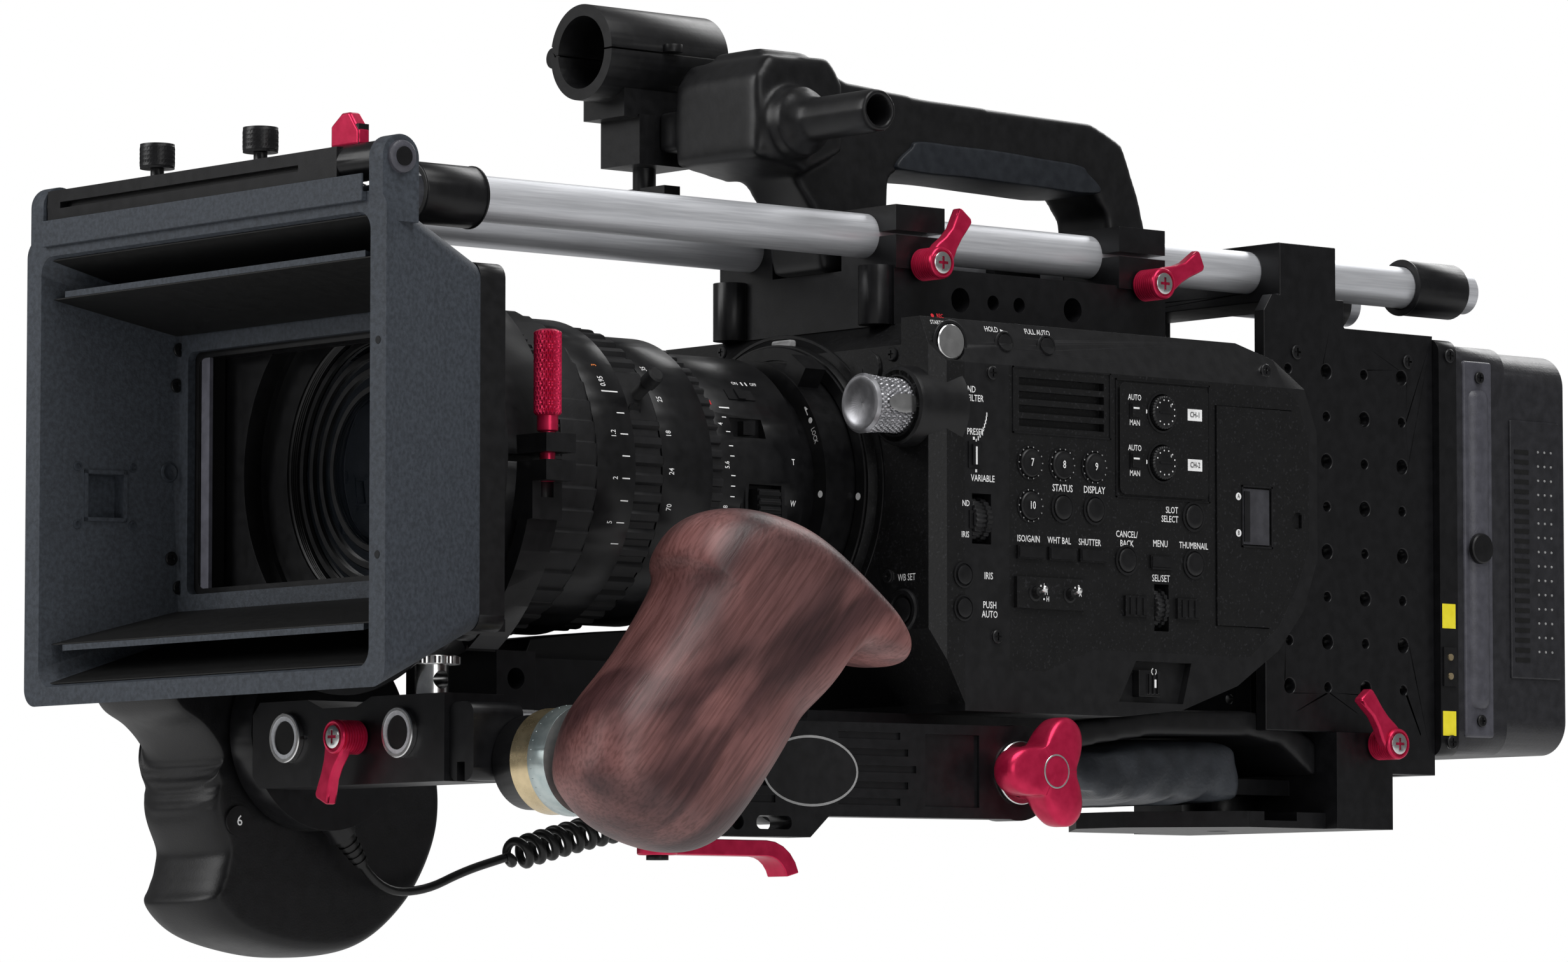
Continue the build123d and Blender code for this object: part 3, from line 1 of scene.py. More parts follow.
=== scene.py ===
import bpy
import bmesh
from math import atan2, cos, exp, hypot, pi, radians, sin, sqrt
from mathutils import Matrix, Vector


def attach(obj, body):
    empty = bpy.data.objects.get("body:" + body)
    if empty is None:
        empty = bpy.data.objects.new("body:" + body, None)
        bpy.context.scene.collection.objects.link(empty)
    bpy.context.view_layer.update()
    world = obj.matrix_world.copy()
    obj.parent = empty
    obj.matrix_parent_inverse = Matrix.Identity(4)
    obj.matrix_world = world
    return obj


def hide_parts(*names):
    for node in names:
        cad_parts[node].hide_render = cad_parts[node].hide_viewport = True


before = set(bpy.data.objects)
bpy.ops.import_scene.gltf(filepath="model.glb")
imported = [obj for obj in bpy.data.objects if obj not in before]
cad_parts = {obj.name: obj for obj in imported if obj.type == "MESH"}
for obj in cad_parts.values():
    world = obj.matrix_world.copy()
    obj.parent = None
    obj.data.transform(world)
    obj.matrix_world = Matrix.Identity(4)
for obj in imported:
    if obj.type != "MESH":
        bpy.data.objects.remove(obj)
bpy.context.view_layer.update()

# Shapes are given in millimetres in the frame's axes, and scaled when a piece is made.
MM = 0.001
WELD_DISTANCE = 0.01 * MM
X_AXIS = Vector((1.0, 0.0, 0.0))
Y_AXIS = Vector((0.0, 1.0, 0.0))
Z_AXIS = Vector((0.0, 0.0, 1.0))
LENS_Z = 111.0
LENS_CENTRE = (0.0, 0.0, LENS_Z)
PANEL_X = 78.0  # outer face of the control panel
INK_LIFT = 0.12  # ink stands this far off it
CAP_HEIGHT = 0.70  # height of a capital in a font of size 1
DIAL_Y = -102.4
DIAL_ROWS = (139.0, 121.8)
ROD_X = 30.0  # half the rods' spacing
WING_Y, WING_Z = -166.0, 15.0
JOINT_Y, JOINT_Z = -366.0, 14.0  # axis of the wooden grip's rosette
# the strip above the panel, which leans inwards from LEAN_Z up
LEAN_Z, LEAN_RUN, LEAN_RISE = 151.0, 7.0, 16.0
LEAN_NORMAL = Vector((LEAN_RISE, 0.0, LEAN_RUN)).normalized()
# the hood's right wall, seen from inside
HOOD_SLOPE = 0.263
HOOD_WALL = Vector((1.0, -HOOD_SLOPE, 0.0)).normalized()
HOOD_SEAT_Y, HOOD_SEAT_Z = -426.0, 104.0


# ---------------------------------------------------------------- camera
def aim(item, direction):
    item.rotation_euler = direction.to_track_quat("-Z", "Y").to_euler()
    bpy.context.scene.collection.objects.link(item)


def place_camera():
    heading = radians(49.4)
    rise = radians(4.4)
    data = bpy.data.cameras.new("studio_camera")
    data.sensor_width = 36.0
    data.lens = 159.6
    data.clip_start = 0.05
    camera = bpy.data.objects.new("studio_camera", data)
    camera.location = (1.7868, -1.7357, -0.0659)
    aim(camera, Vector((-sin(heading) * cos(rise), cos(heading) * cos(rise), sin(rise))))
    bpy.context.scene.camera = camera


place_camera()


# ---------------------------------------------------------------- materials
def add_node(tree, kind, **values):
    """A shader node with its inputs set; an underscore stands for a space in their names."""
    made = tree.nodes.new("ShaderNode" + kind)
    for label, value in values.items():
        made.inputs[label.replace("_", " ")].default_value = value
    return made


def noise_texture(tree, mapping, scale, detail, distortion=0.0):
    made = add_node(tree, "TexNoise", Scale=scale, Detail=detail, Distortion=distortion)
    tree.links.new(mapping.outputs["Vector"], made.inputs["Vector"])
    return made.outputs["Fac"]


def colour_ramp(tree, source, low, dark, high, light):
    made = add_node(tree, "ValToRGB")
    for stop, position, colour in zip(made.color_ramp.elements, (low, high), (dark, light)):
        stop.position = position
        stop.color = (*colour, 1.0)
    tree.links.new(source, made.inputs["Fac"])
    return made.outputs["Color"]


def mixed(tree, blend_type, factor, first, second):
    """Mixes two colours; each of the three is a socket or a plain value."""
    made = add_node(tree, "Mix")
    made.data_type = "RGBA"
    made.blend_type = blend_type
    for index, source in ((0, factor), (6, first), (7, second)):
        if isinstance(source, bpy.types.NodeSocket):
            tree.links.new(source, made.inputs[index])
        else:
            made.inputs[index].default_value = source
    return made.outputs[2]


def add_relief(tree, height, distance):
    made = add_node(tree, "Bump", Strength=1.0, Distance=distance * MM)
    tree.links.new(height, made.inputs["Height"])
    tree.links.new(made.outputs["Normal"], tree.nodes["Principled BSDF"].inputs["Normal"])


def surface(name, dark, light, roughness, metallic=0.0, scale=250.0, stretch=(1, 1, 1),
            turn=(0, 0, 0), bump=0.0, bump_scale=900.0, coat=0.0, specular=0.3, spread=0.06,
            detail=4.0, distortion=0.0):
    """A mottled material: colour and roughness follow one noise, the bump follows a finer one."""
    made = bpy.data.materials.new(name)
    made.use_nodes = True
    tree = made.node_tree
    shader = tree.nodes["Principled BSDF"]
    shader.inputs["Metallic"].default_value = metallic
    shader.inputs["Coat Weight"].default_value = coat
    shader.inputs["Coat Roughness"].default_value = 0.15
    shader.inputs["Specular IOR Level"].default_value = specular
    mapping = add_node(tree, "Mapping", Scale=stretch, Rotation=turn)
    tree.links.new(add_node(tree, "TexCoord").outputs["Object"], mapping.inputs["Vector"])
    mottle = noise_texture(tree, mapping, scale, detail, distortion)
    tree.links.new(colour_ramp(tree, mottle, 0.35, dark, 0.65, light),
                   shader.inputs["Base Color"])
    gloss = add_node(tree, "MapRange", To_Min=roughness - spread, To_Max=roughness + spread)
    tree.links.new(mottle, gloss.inputs["Value"])
    tree.links.new(gloss.outputs["Result"], shader.inputs["Roughness"])
    if bump:
        add_relief(tree, noise_texture(tree, mapping, bump_scale, 2.0), bump)
    return made


def grey(value, blue=1.0):
    return (value, value, value * blue)


def neutral(name, dark, light, roughness, blue=1.0, **more):
    return surface(name, grey(dark, blue), grey(light, blue), roughness, **more)


def speckled(name, base, glint_grey, roughness):
    """Paint with a fine grain: a fine bump breaks the surface, and a splatter of lighter specks in
    its colour is painted glints of the grain.
    """
    made = neutral(name, base, base * 1.25, roughness, 1.08, bump=0.05)
    tree = made.node_tree
    # lighter specks mixed into the colour: painted glints
    dots = noise_texture(tree, tree.nodes["Mapping"], 1100.0, 1.0)
    edge = colour_ramp(tree, dots, 0.62, grey(0.0), 0.70, grey(1.0))
    colour = mixed(tree, "MIX", edge, tree.nodes["Color Ramp"].outputs["Color"],
                   (*grey(glint_grey, 1.1), 1.0))
    tree.links.new(colour, tree.nodes["Principled BSDF"].inputs["Base Color"])
    return made


def walnut():
    """Oiled reddish walnut: long figure, fine pores along the grain and darker clouds."""
    along_grain = (-0.716, 0.0, 0.0)
    made = surface("walnut_wood", (0.105, 0.046, 0.045), (0.28, 0.120, 0.112), 0.44, scale=34.0,
                   stretch=(1.0, 1.0, 2.4), turn=along_grain, specular=0.45, spread=0.08,
                   detail=8.0, distortion=0.6)
    tree = made.node_tree
    mapping = tree.nodes["Mapping"]
    mapping.vector_type = "TEXTURE"
    fine_map = add_node(tree, "Mapping", Scale=(1.0, 1.0, 0.14))
    tree.links.new(mapping.outputs["Vector"], fine_map.inputs["Vector"])
    pores = noise_texture(tree, fine_map, 1000.0, 3.0)
    clouds = noise_texture(tree, mapping, 26.0, 2.0, 1.4)
    colour = tree.nodes["Color Ramp"].outputs["Color"]
    for source, low, dark in ((pores, 0.36, (0.66, 0.60, 0.58)),
                              (clouds, 0.40, (0.34, 0.30, 0.33))):
        layer = colour_ramp(tree, source, low, dark, 0.56, grey(1.0))
        colour = mixed(tree, "MULTIPLY", 1.0, colour, layer)
    tree.links.new(colour, tree.nodes["Principled BSDF"].inputs["Base Color"])
    add_relief(tree, pores, 0.12)
    return made


def coated_glass():
    made = surface("coated_glass", (0.002, 0.003, 0.004), (0.004, 0.005, 0.007), 0.03,
                   coat=1.0, specular=0.8, spread=0.01)
    made.node_tree.nodes["Principled BSDF"].inputs["Coat Roughness"].default_value = 0.02
    return made


# body paint; its lighter specks are painted glints
BODY = speckled("body_paint", 0.0042, 0.016, 0.44)
SMOOTH = neutral("smooth_paint", 0.006, 0.009, 0.42, 1.1, bump=0.02)
TRIM = neutral("trim_plastic", 0.005, 0.008, 0.38, 1.1, bump=0.02)
DEEP = neutral("deep_black", 0.003, 0.005, 0.6, bump=0.02)
RING = neutral("ring_black", 0.004, 0.007, 0.34, 1.1, bump=0.015)
ANODISED = neutral("black_anodised", 0.0042, 0.0065, 0.36, 1.15, bump=0.02, bump_scale=1600.0)
RUBBER = neutral("fine_rubber", 0.006, 0.010, 0.55, 1.1, bump=0.05, bump_scale=1500.0)
GRIP_BLACK = neutral("grip_rubber_black", 0.0035, 0.0060, 0.44, 1.15, bump=0.05,
                     bump_scale=1500.0)
PAD_RUBBER = surface("handle_pad_rubber", (0.010, 0.012, 0.016), (0.016, 0.019, 0.024), 0.5,
                     bump=0.05, bump_scale=1500.0)
HOOD = surface("hood_grain", (0.028, 0.033, 0.041), (0.046, 0.054, 0.067), 0.62, scale=700.0,
               bump=0.12, bump_scale=1300.0)
# painted shade: this much darker hood colour is used only on the rim's dimples
HOOD_DIMPLE_SHADE = surface("hood_dimple_painted_shade", (0.006, 0.007, 0.008), (0.012, 0.013, 0.015), 0.8,
                    scale=700.0, bump=0.08)
RED = surface("red_anodised", (0.50, 0.012, 0.060), (0.60, 0.020, 0.080), 0.30, metallic=0.55,
              bump=0.015, bump_scale=1500.0)
SILVER = surface("satin_silver", (0.58, 0.59, 0.62), (0.70, 0.71, 0.74), 0.44, metallic=0.6,
                 scale=1400.0, stretch=(1, 0.03, 1), bump=0.008, bump_scale=2500.0)
KNOB_METAL = neutral("knob_metal", 0.36, 0.48, 0.34, 1.05, metallic=0.85, bump=0.01)
POLISHED = neutral("polished_steel", 0.62, 0.75, 0.22, metallic=1.0, bump=0.01)
GOLD = surface("gold_anodised", (0.62, 0.50, 0.30), (0.74, 0.60, 0.37), 0.28, metallic=0.9,
               bump=0.015)
PALE_BLUE = surface("pale_anodised", (0.42, 0.50, 0.50), (0.55, 0.62, 0.61), 0.30, metallic=0.8,
                    bump=0.015)
WOOD = walnut()
GLASS = coated_glass()
FOAM = surface("pad_leather", (0.026, 0.029, 0.034), (0.042, 0.047, 0.055), 0.40, scale=120.0,
               bump=0.18, bump_scale=700.0)
BATTERY = neutral("battery_shell", 0.016, 0.024, 0.36, 1.15, bump=0.08, bump_scale=1200.0)
BATTERY_GREY = neutral("battery_side", 0.055, 0.075, 0.34, 1.2, bump=0.08, bump_scale=1200.0)
CORD = neutral("cord_jacket", 0.006, 0.010, 0.36, bump=0.02)
WHITE = neutral("white_ink", 0.78, 0.88, 0.5)
GREY_INK = neutral("grey_ink", 0.26, 0.32, 0.5)
RED_INK = surface("red_ink", (0.60, 0.02, 0.03), (0.70, 0.03, 0.04), 0.5)
ORANGE_INK = surface("orange_ink", (0.70, 0.20, 0.05), (0.80, 0.26, 0.07), 0.5)
YELLOW = surface("yellow_label", (0.80, 0.68, 0.02), (0.88, 0.76, 0.04), 0.5)
PANE = neutral("smoked_window", 0.035, 0.050, 0.18, 1.15, coat=0.5)
BOARD = surface("solder_mask", (0.010, 0.070, 0.030), (0.020, 0.110, 0.045), 0.4, bump=0.05)
FRAME_GREY = neutral("frame_grey", 0.12, 0.16, 0.4, 1.2, bump=0.01)
LAMP = neutral("lamp_lens", 0.62, 0.72, 0.35)

cad_finishes = [
    (BODY, "front_casing side_panel card_door"),
    (SMOOTH, "body_shell shoulder_arch"),
    (TRIM, "iris_dial select_wheel power_switch top_handle mic_holder mic_cap zoom_rocker "
           "filter_stage latch_top latch_bottom clamp_adaptor grip_button cord_plug"),
    (DEEP, "filter_tray"),
    (RING, "lens_barrel zoom_group lock_ring"),
    (ANODISED, "filter_wheel top_plate rod_caps flag_bar front_bracket base_plate wedge_base "
               "rear_cage battery_plate side_arm grip_flange"),
    (RUBBER, "focus_ring zoom_ring iris_ring"),
    (GRIP_BLACK, "hand_grip"),
    (HOOD, "mattebox_hood"),
    (RED, "clamp_handle lever_top_front lever_top_rear lever_rear lever_bracket lever_arm "
          "wing_knob"),
    (SILVER, "filter_knob top_rods lower_rods"),
    (POLISHED, "record_button sensor_block screws"),
    (PALE_BLUE, "grip_rosette"),
    (WOOD, "wood_grip"),
    (GLASS, "lens_glass"),
    (FOAM, "shoulder_pad"),
    (BATTERY, "battery"),
    (CORD, "cord_relief grip_cord curly_cord"),
    (BOARD, "main_board"),
]
for finish, node_names in cad_finishes:
    for node_name in node_names.split():
        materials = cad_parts[node_name].data.materials
        materials.clear()
        materials.append(finish)


def weld(item):
    item.modifiers.new("weld", "WELD").merge_threshold = WELD_DISTANCE


def round_edges(item, width, segments=3, angle=40.0):
    bevel = item.modifiers.new("round_edges", "BEVEL")
    bevel.width = width * MM
    bevel.segments = segments
    bevel.limit_method = "ANGLE"
    bevel.angle_limit = radians(angle)
    bevel.harden_normals = True


cad_edges = [
    (2.2, "body_shell"), (1.5, "battery cord_plug"),
    (1.2, "front_casing latch_top latch_bottom wing_knob"), (1.0, "grip_flange"),
    (0.9, "clamp_adaptor"), (0.8, "mattebox_hood filter_stage lever_arm"),
    (0.7, "top_plate base_plate front_bracket lever_top_front lever_top_rear lever_rear "
          "lever_bracket"),
    (0.6, "battery_plate side_arm wedge_base rod_caps"),
    (0.5, "rear_cage flag_bar mic_holder mic_cap grip_rosette"),
    (0.3, "card_door power_switch lens_barrel"), (0.25, "side_panel"),
]
for width, node_names in cad_edges:
    for node_name in node_names.split():
        weld(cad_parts[node_name])
        round_edges(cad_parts[node_name], width, segments=2, angle=35.0)


def melt(node_name, voxel, repeats):
    """Rounds a cast or moulded CAD node all over by remeshing and relaxing it."""
    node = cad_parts[node_name]
    weld(node)
    remesh = node.modifiers.new("remesh", "REMESH")
    remesh.mode = "VOXEL"
    remesh.voxel_size = voxel * MM
    remesh.use_smooth_shade = True
    relax = node.modifiers.new("relax", "SMOOTH")
    relax.factor = 0.5
    relax.iterations = repeats


melt("top_handle", 1.3, 16)
melt("shoulder_arch", 1.6, 8)


# ---------------------------------------------------------------- shape helpers
def add_piece(name, finish, shapes, body="rig", crease=35.0):
    """Joins shapes, each a pair of points and faces, into one piece on a body."""
    points, faces = [], []
    for more_points, more_faces in shapes:
        start = len(points)
        points += [Vector(point) * MM for point in more_points]
        faces += [tuple(i + start for i in face) for face in more_faces]
    mesh = bpy.data.meshes.new(name)
    mesh.from_pydata(points, [], faces)
    work = bmesh.new()
    work.from_mesh(mesh)
    bmesh.ops.recalc_face_normals(work, faces=work.faces)
    work.to_mesh(mesh)
    work.free()
    mesh.shade_smooth()
    mesh.set_sharp_from_angle(angle=radians(crease))
    mesh.materials.append(finish)
    piece = bpy.data.objects.new(name, mesh)
    bpy.context.scene.collection.objects.link(piece)
    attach(piece, body)
    return piece


def side_vectors(axis):
    for along, others in ((axis.x, (Y_AXIS, Z_AXIS)), (axis.y, (X_AXIS, Z_AXIS)),
                          (axis.z, (X_AXIS, Y_AXIS))):
        if abs(along) > 0.9:
            return others
    side = axis.orthogonal().normalized()
    return side, axis.cross(side)


def angles(count):
    return [2 * pi * step / count for step in range(count)]


def band(here, there, count):
    """Faces between two rings of points, given by their first points' indices."""
    return [(here + i, here + (i + 1) % count, there + (i + 1) % count, there + i)
            for i in range(count)]


def turned(centre, axis, profile, segments=48, shape=None, loop=False):
    """A turned shape; profile is (along, radius) pairs, and a loop closes on itself."""
    centre = Vector(centre)
    axis = Vector(axis).normalized()
    side, up = side_vectors(axis)
    points = []
    for along, radius in profile:
        for angle in angles(segments):
            r = shape(radius, angle, along) if shape else radius
            points.append(centre + axis * along + (side * cos(angle) + up * sin(angle)) * r)
    rows = len(profile)
    faces = []
    for row in range(rows if loop else rows - 1):
        faces += band(row * segments, (row + 1) % rows * segments, segments)
    if not loop:
        faces.append(tuple(range(segments)))
        faces.append(tuple(range((rows - 1) * segments, rows * segments)))
    return points, faces


def lens_turned(profile, segments, shape=None):
    return turned(LENS_CENTRE, Y_AXIS, profile, segments, shape, loop=True)


def tube_profile(near, far, inner, outer, edge=0.3):
    return [(near, inner), (near, outer - edge), (near + edge, outer), (far - edge, outer),
            (far, outer - edge), (far, inner)]


def slab(corners, thickness_vector):
    """A flat plate from its corner points, given a thickness."""
    count = len(corners)
    points = [Vector(corner) for corner in corners]
    points += [point + Vector(thickness_vector) for point in points]
    return points, [tuple(range(count)), tuple(range(2 * count - 1, count - 1, -1)),
                    *band(0, count, count)]


def box(low, high):
    x0, y0, z0 = low
    x1, y1, z1 = high
    return slab([(x0, y0, z0), (x1, y0, z0), (x1, y1, z0), (x0, y1, z0)], (0, 0, z1 - z0))


def screw_head(point, axis, radius, height=1.0):
    """A domed head with a cross recess that faces along the axis."""
    point = Vector(point)
    axis = Vector(axis).normalized()
    side, up = side_vectors(axis)
    arm = radius * 0.58
    half = radius * 0.13
    cross = [(arm, -half), (arm, half), (half, half), (half, arm), (-half, arm), (-half, half),
             (-arm, half), (-arm, -half), (-half, -half), (-half, -arm), (half, -arm),
             (half, -half)]
    corners = len(cross)
    rim_count = 24
    points, faces = turned(point, axis, [(0.0, radius), (height * 0.7, radius),
                                         (height, radius * 0.86)], rim_count)
    del faces[-2:]
    start = len(points)
    for depth in (height, height - radius * 0.3):
        points += [point + axis * depth + side * u + up * v for u, v in cross]
    faces += band(start, start + corners, corners)
    faces.append(tuple(range(start + corners, start + 2 * corners)))
    # the flat top between the rim and the cross, as a fan
    rim = 2 * rim_count
    spots = [round(atan2(v, u) / (2 * pi) * rim_count) % rim_count for u, v in cross]
    for i, near in enumerate(spots):
        after = (i + 1) % corners
        steps = (spots[after] - near) % rim_count
        arc = [rim + (near + k) % rim_count for k in range(steps + 1)]
        faces.append((start + after, start + i, *arc))
    return points, faces


def knurl(count, pitch, depth, near, far):
    """Radius rule for a diamond knurl between two places along the axis."""
    def shape(radius, angle, along):
        if not near < along < far:
            return radius
        one = abs(cos(angle * count / 2 + along * pi / pitch))
        two = abs(cos(angle * count / 2 - along * pi / pitch))
        return radius - depth * max(one, two) ** 6
    return shape


def rows_between(near, far, step):
    count = max(1, round((far - near) / step))
    return [near + (far - near) * i / count for i in range(count + 1)]


# ---------------------------------------------------------------- the grip's cord
def nurbs_curve(name, points, thickness, resolution=6):
    data = bpy.data.curves.new(name, "CURVE")
    data.dimensions = "3D"
    spline = data.splines.new("NURBS")
    spline.points.add(len(points) - 1)
    for target, point in zip(spline.points, points):
        target.co = (*point, 1.0)
    spline.order_u = 3
    spline.use_endpoint_u = True
    spline.resolution_u = resolution
    data.bevel_depth = thickness
    data.bevel_resolution = 4
    data.use_fill_caps = True
    curve = bpy.data.objects.new(name, data)
    bpy.context.scene.collection.objects.link(curve)
    return curve


def curve_points(points):
    """Evenly read points of the smooth line that follows the route."""
    guide = nurbs_curve("route_guide", points, 0.0, 24)
    bpy.context.view_layer.update()
    line = bpy.data.meshes.new_from_object(guide)
    found = [vertex.co.copy() for vertex in line.vertices]
    bpy.data.meshes.remove(line)
    bpy.data.objects.remove(guide)
    return found


def helix(route, wire_r, coil_r, pitch, per_turn=12):
    """Points of a coil round the route, its radius growing and shrinking at the ends."""
    path = curve_points(route)
    lengths = [0.0]
    for a, b in zip(path, path[1:]):
        lengths.append(lengths[-1] + (b - a).length)
    total = lengths[-1]
    steps = round(total / pitch) * per_turn
    points = []
    index = 0
    side = (path[1] - path[0]).orthogonal().normalized()
    for step in range(steps + 1):
        at = total * step / steps
        while index < len(path) - 2 and lengths[index + 1] < at:
            index += 1
        piece = (at - lengths[index]) / max(lengths[index + 1] - lengths[index], 1e-9)
        centre = path[index].lerp(path[index + 1], min(piece, 1.0))
        tangent = (path[index + 1] - path[index]).normalized()
        side = (side - tangent * side.dot(tangent)).normalized()
        swell = min(1.0, step / 8, (steps - step) / 8)
        angle = 2 * pi * step / per_turn
        points.append(centre + (side * cos(angle) + tangent.cross(side) * sin(angle))
                      * (coil_r - wire_r) * swell)
    return points


cord_r = 0.0015
coil_r = 0.006
coil_pitch = 0.0058
relief_dir = Vector((0.0, 0.643, -0.766))
relief_start = Vector((-0.058, -0.3468, -0.0063))
relief_end = relief_start + relief_dir * 0.013
lead_route = [relief_end, relief_end + relief_dir * 0.0109, Vector((-0.058, -0.313, -0.0244)),
              Vector((-0.058, -0.296, -0.0173))]
coil_route = [Vector(point) for point in (
    (-0.058, -0.278, -0.0125), (-0.058, -0.240, -0.002367), (-0.062, -0.208, 0.002),
    (-0.072, -0.180, 0.009), (-0.084, -0.158, 0.024), (-0.086, -0.151, 0.042))]
coil_out = (coil_route[-1] - coil_route[-2]).normalized()
plug_in = Vector((-0.0856, -0.1494, 0.054))
tail_route = [coil_route[-1] + coil_out * 0.004, plug_in - Vector((0, 0, 0.004)), plug_in]
cord_points = lead_route + helix(coil_route, cord_r, coil_r, coil_pitch) + tail_route
cord = nurbs_curve("grip_control_cord", cord_points, cord_r)
cord.data.materials.append(CORD)
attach(cord, "rig")
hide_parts("grip_cord", "curly_cord")
cord_line = curve_points(cord_points)


def relief_sleeve():
    """Ribbed tapering sleeve where the cord leaves the flange."""
    profile = [(0.0, 4.0)]
    for ring in range(5):
        start = 0.6 + ring * 2.5
        r = 4.0 - start / 13.0 * 1.7
        profile += [(start, r), (start + 1.5, r - 0.15), (start + 1.6, r - 0.8),
                    (start + 2.4, r - 0.85)]
    profile.append((13.0, 1.7))
    return add_piece("cord_sleeve", CORD,
                     [turned(relief_start / MM, relief_dir, profile, 32)])


sleeve = relief_sleeve()
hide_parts("cord_relief")


# ---------------------------------------------------------------- lens
def lens_point(angle, y, r):
    return Vector((r * cos(angle), y, LENS_Z + r * sin(angle)))


def phase(angle, count):
    return (angle * count / (2 * pi)) % 1.0


def gap(angle, count, flat_half, ramp):
    """0 on a rib and 1 between two ribs, with a ramp between them."""
    return min(1.0, max(0.0, (abs(phase(angle, count) - 0.5) - flat_half) / ramp))


def lens_ring(name, node, profile, segments, shape, crease=30.0, extra=()):
    ring = add_piece(name, RUBBER, [lens_turned(profile, segments, shape), *extra],
                     node, crease)
    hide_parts(node)


def focus_ring():
    gear = 132

    def shape(radius, angle, y):
        if radius < 50.0:
            return radius
        if y < -345.0:
            return radius - 1.5 * gap(angle, gear, 0.18, 0.14)
        if y > -343.6:
            rib = phase(angle, 46)
            return radius - 1.1 * (1.0 - rib) - (0.9 if rib > 0.94 else 0.0)
        return radius
    profile = [(-353.7, 49.06), (-353.7, 55.0), (-353.3, 55.4), (-345.4, 55.4), (-345.1, 54.6),
               (-345.0, 52.6), (-343.8, 52.6), (-343.5, 54.0), (-343.0, 54.2), (-330.0, 54.2),
               (-328.9, 53.6), (-328.3, 52.0), (-328.3, 49.06)]
    lens_ring("focus_grip_ring", "focus_ring", profile, gear * 6, shape, 25.0)


def zoom_ring():
    ribs = 50
    pad_angle = radians(30.0)

    def shape(radius, angle, y):
        if radius < 47.0:
            return radius
        away = abs((angle - pad_angle + pi) % (2 * pi) - pi)
        if away < radians(11.0):
            return radius - 0.5
        return radius - 1.4 * gap(angle, ribs, 0.20, 0.10)
    profile = [(-311.7, 45.06), (-311.7, 48.0), (-311.2, 49.6), (-310.4, 50.2), (-299.0, 50.2),
               (-298.2, 49.6), (-297.7, 48.0), (-297.7, 45.06)]
    pin = [(0.0, 2.0)]
    for thread in range(12):
        at = 1.5 + thread * 0.62
        pin += [(at, 2.2), (at + 0.3, 1.8)]
    pin += [(9.0, 1.9), (9.4, 2.9), (14.4, 2.9), (15.0, 2.2)]
    out = Vector((cos(pad_angle), 0.0, sin(pad_angle)))
    lens_ring("zoom_grip_ring", "zoom_ring", profile, ribs * 12, shape,
              extra=[turned(lens_point(pad_angle, -304.5, 47.0), out, pin, 24)])
    low = pad_angle - radians(7.0)
    add_piece("zoom_pin_socket", RING, [
        turned(lens_point(low, -307.5, 49.2), Vector((cos(low), 0, sin(low))),
               [(0.0, 1.0), (0.55, 1.0), (0.6, 2.0), (0.9, 2.2), (0.9, 2.6), (0.5, 2.7)], 24)],
        "zoom_ring", 30.0)


def iris_ring():
    ribs = 60

    def shape(radius, angle, y):
        if radius < 44.0:
            return radius
        wide = 0.24 if int(angle * ribs / (2 * pi)) % 3 else 0.12
        return radius - 1.2 * gap(angle, ribs, wide, 0.10)
    profile = [(-275.7, 41.06), (-275.7, 45.2), (-275.2, 46.2), (-269.9, 46.2), (-269.3, 45.2),
               (-269.3, 41.06)]
    lens_ring("iris_grip_ring", "iris_ring", profile, ribs * 12, shape)


def lens_front():
    """Threaded mouth and the stepped rings behind it."""
    profile = [(-379.6, 45.6)]
    for thread in range(4):
        at = -379.2 + thread * 0.8
        profile += [(at, 45.5), (at + 0.4, 44.9)]
    profile += [(-375.4, 44.6), (-375.3, 45.6)]
    add_piece("lens_mouth_thread", RING, [lens_turned(profile, 96)])
    rings = []
    for index, radius in enumerate((43.5, 38.5, 33.5, 28.0)):
        near = -376.6 + index * 0.25
        rings.append(lens_turned(tube_profile(near, near + 1.3, radius - 2.2, radius, 0.4), 96))
    add_piece("lens_retaining_rings", RING, rings)
    dome = [(-375.05 - 4.2 * sqrt(max(0.0, 1 - (r / 26.0) ** 2)), r)
            for r in (25.8, 24.0, 21.0, 17.0, 12.0, 7.0, 0.05)]
    add_piece("front_element", GLASS, [turned(LENS_CENTRE, Y_AXIS, dome, 72)],
              crease=60.0)


focus_ring()
zoom_ring()
iris_ring()
lens_front()


# ---------------------------------------------------------------- ink: marks, numbers, labels
glyph_cache = {}


def glyphs(words):
    if words not in glyph_cache:
        data = bpy.data.curves.new("glyphs", "FONT")
        data.body = words
        data.size = 1.0
        data.align_x = "CENTER"
        data.align_y = "CENTER"
        data.resolution_u = 2
        data.offset = 0.006
        holder = bpy.data.objects.new("glyphs", data)
        bpy.context.scene.collection.objects.link(holder)
        bpy.context.view_layer.update()
        mesh = bpy.data.meshes.new_from_object(holder)
        glyph_cache[words] = ([(v.co.x, v.co.y) for v in mesh.vertices],
                              [tuple(p.vertices) for p in mesh.polygons])
        bpy.data.objects.remove(holder)
        bpy.data.meshes.remove(mesh)
    return glyph_cache[words]


def flat(centre, right=X_AXIS, up=Z_AXIS):
    """A place for ink: a rule that turns flat coordinates into points."""
    centre, right, up = Vector(centre), Vector(right), Vector(up)
    return lambda u, v: centre + right * u + up * v


def panel(y, z, out=INK_LIFT):
    return flat((PANEL_X + out, y, z), Y_AXIS)


def on_lean(y, z):
    return Vector((PANEL_X - LEAN_RUN * (z - LEAN_Z) / LEAN_RISE, y, z))


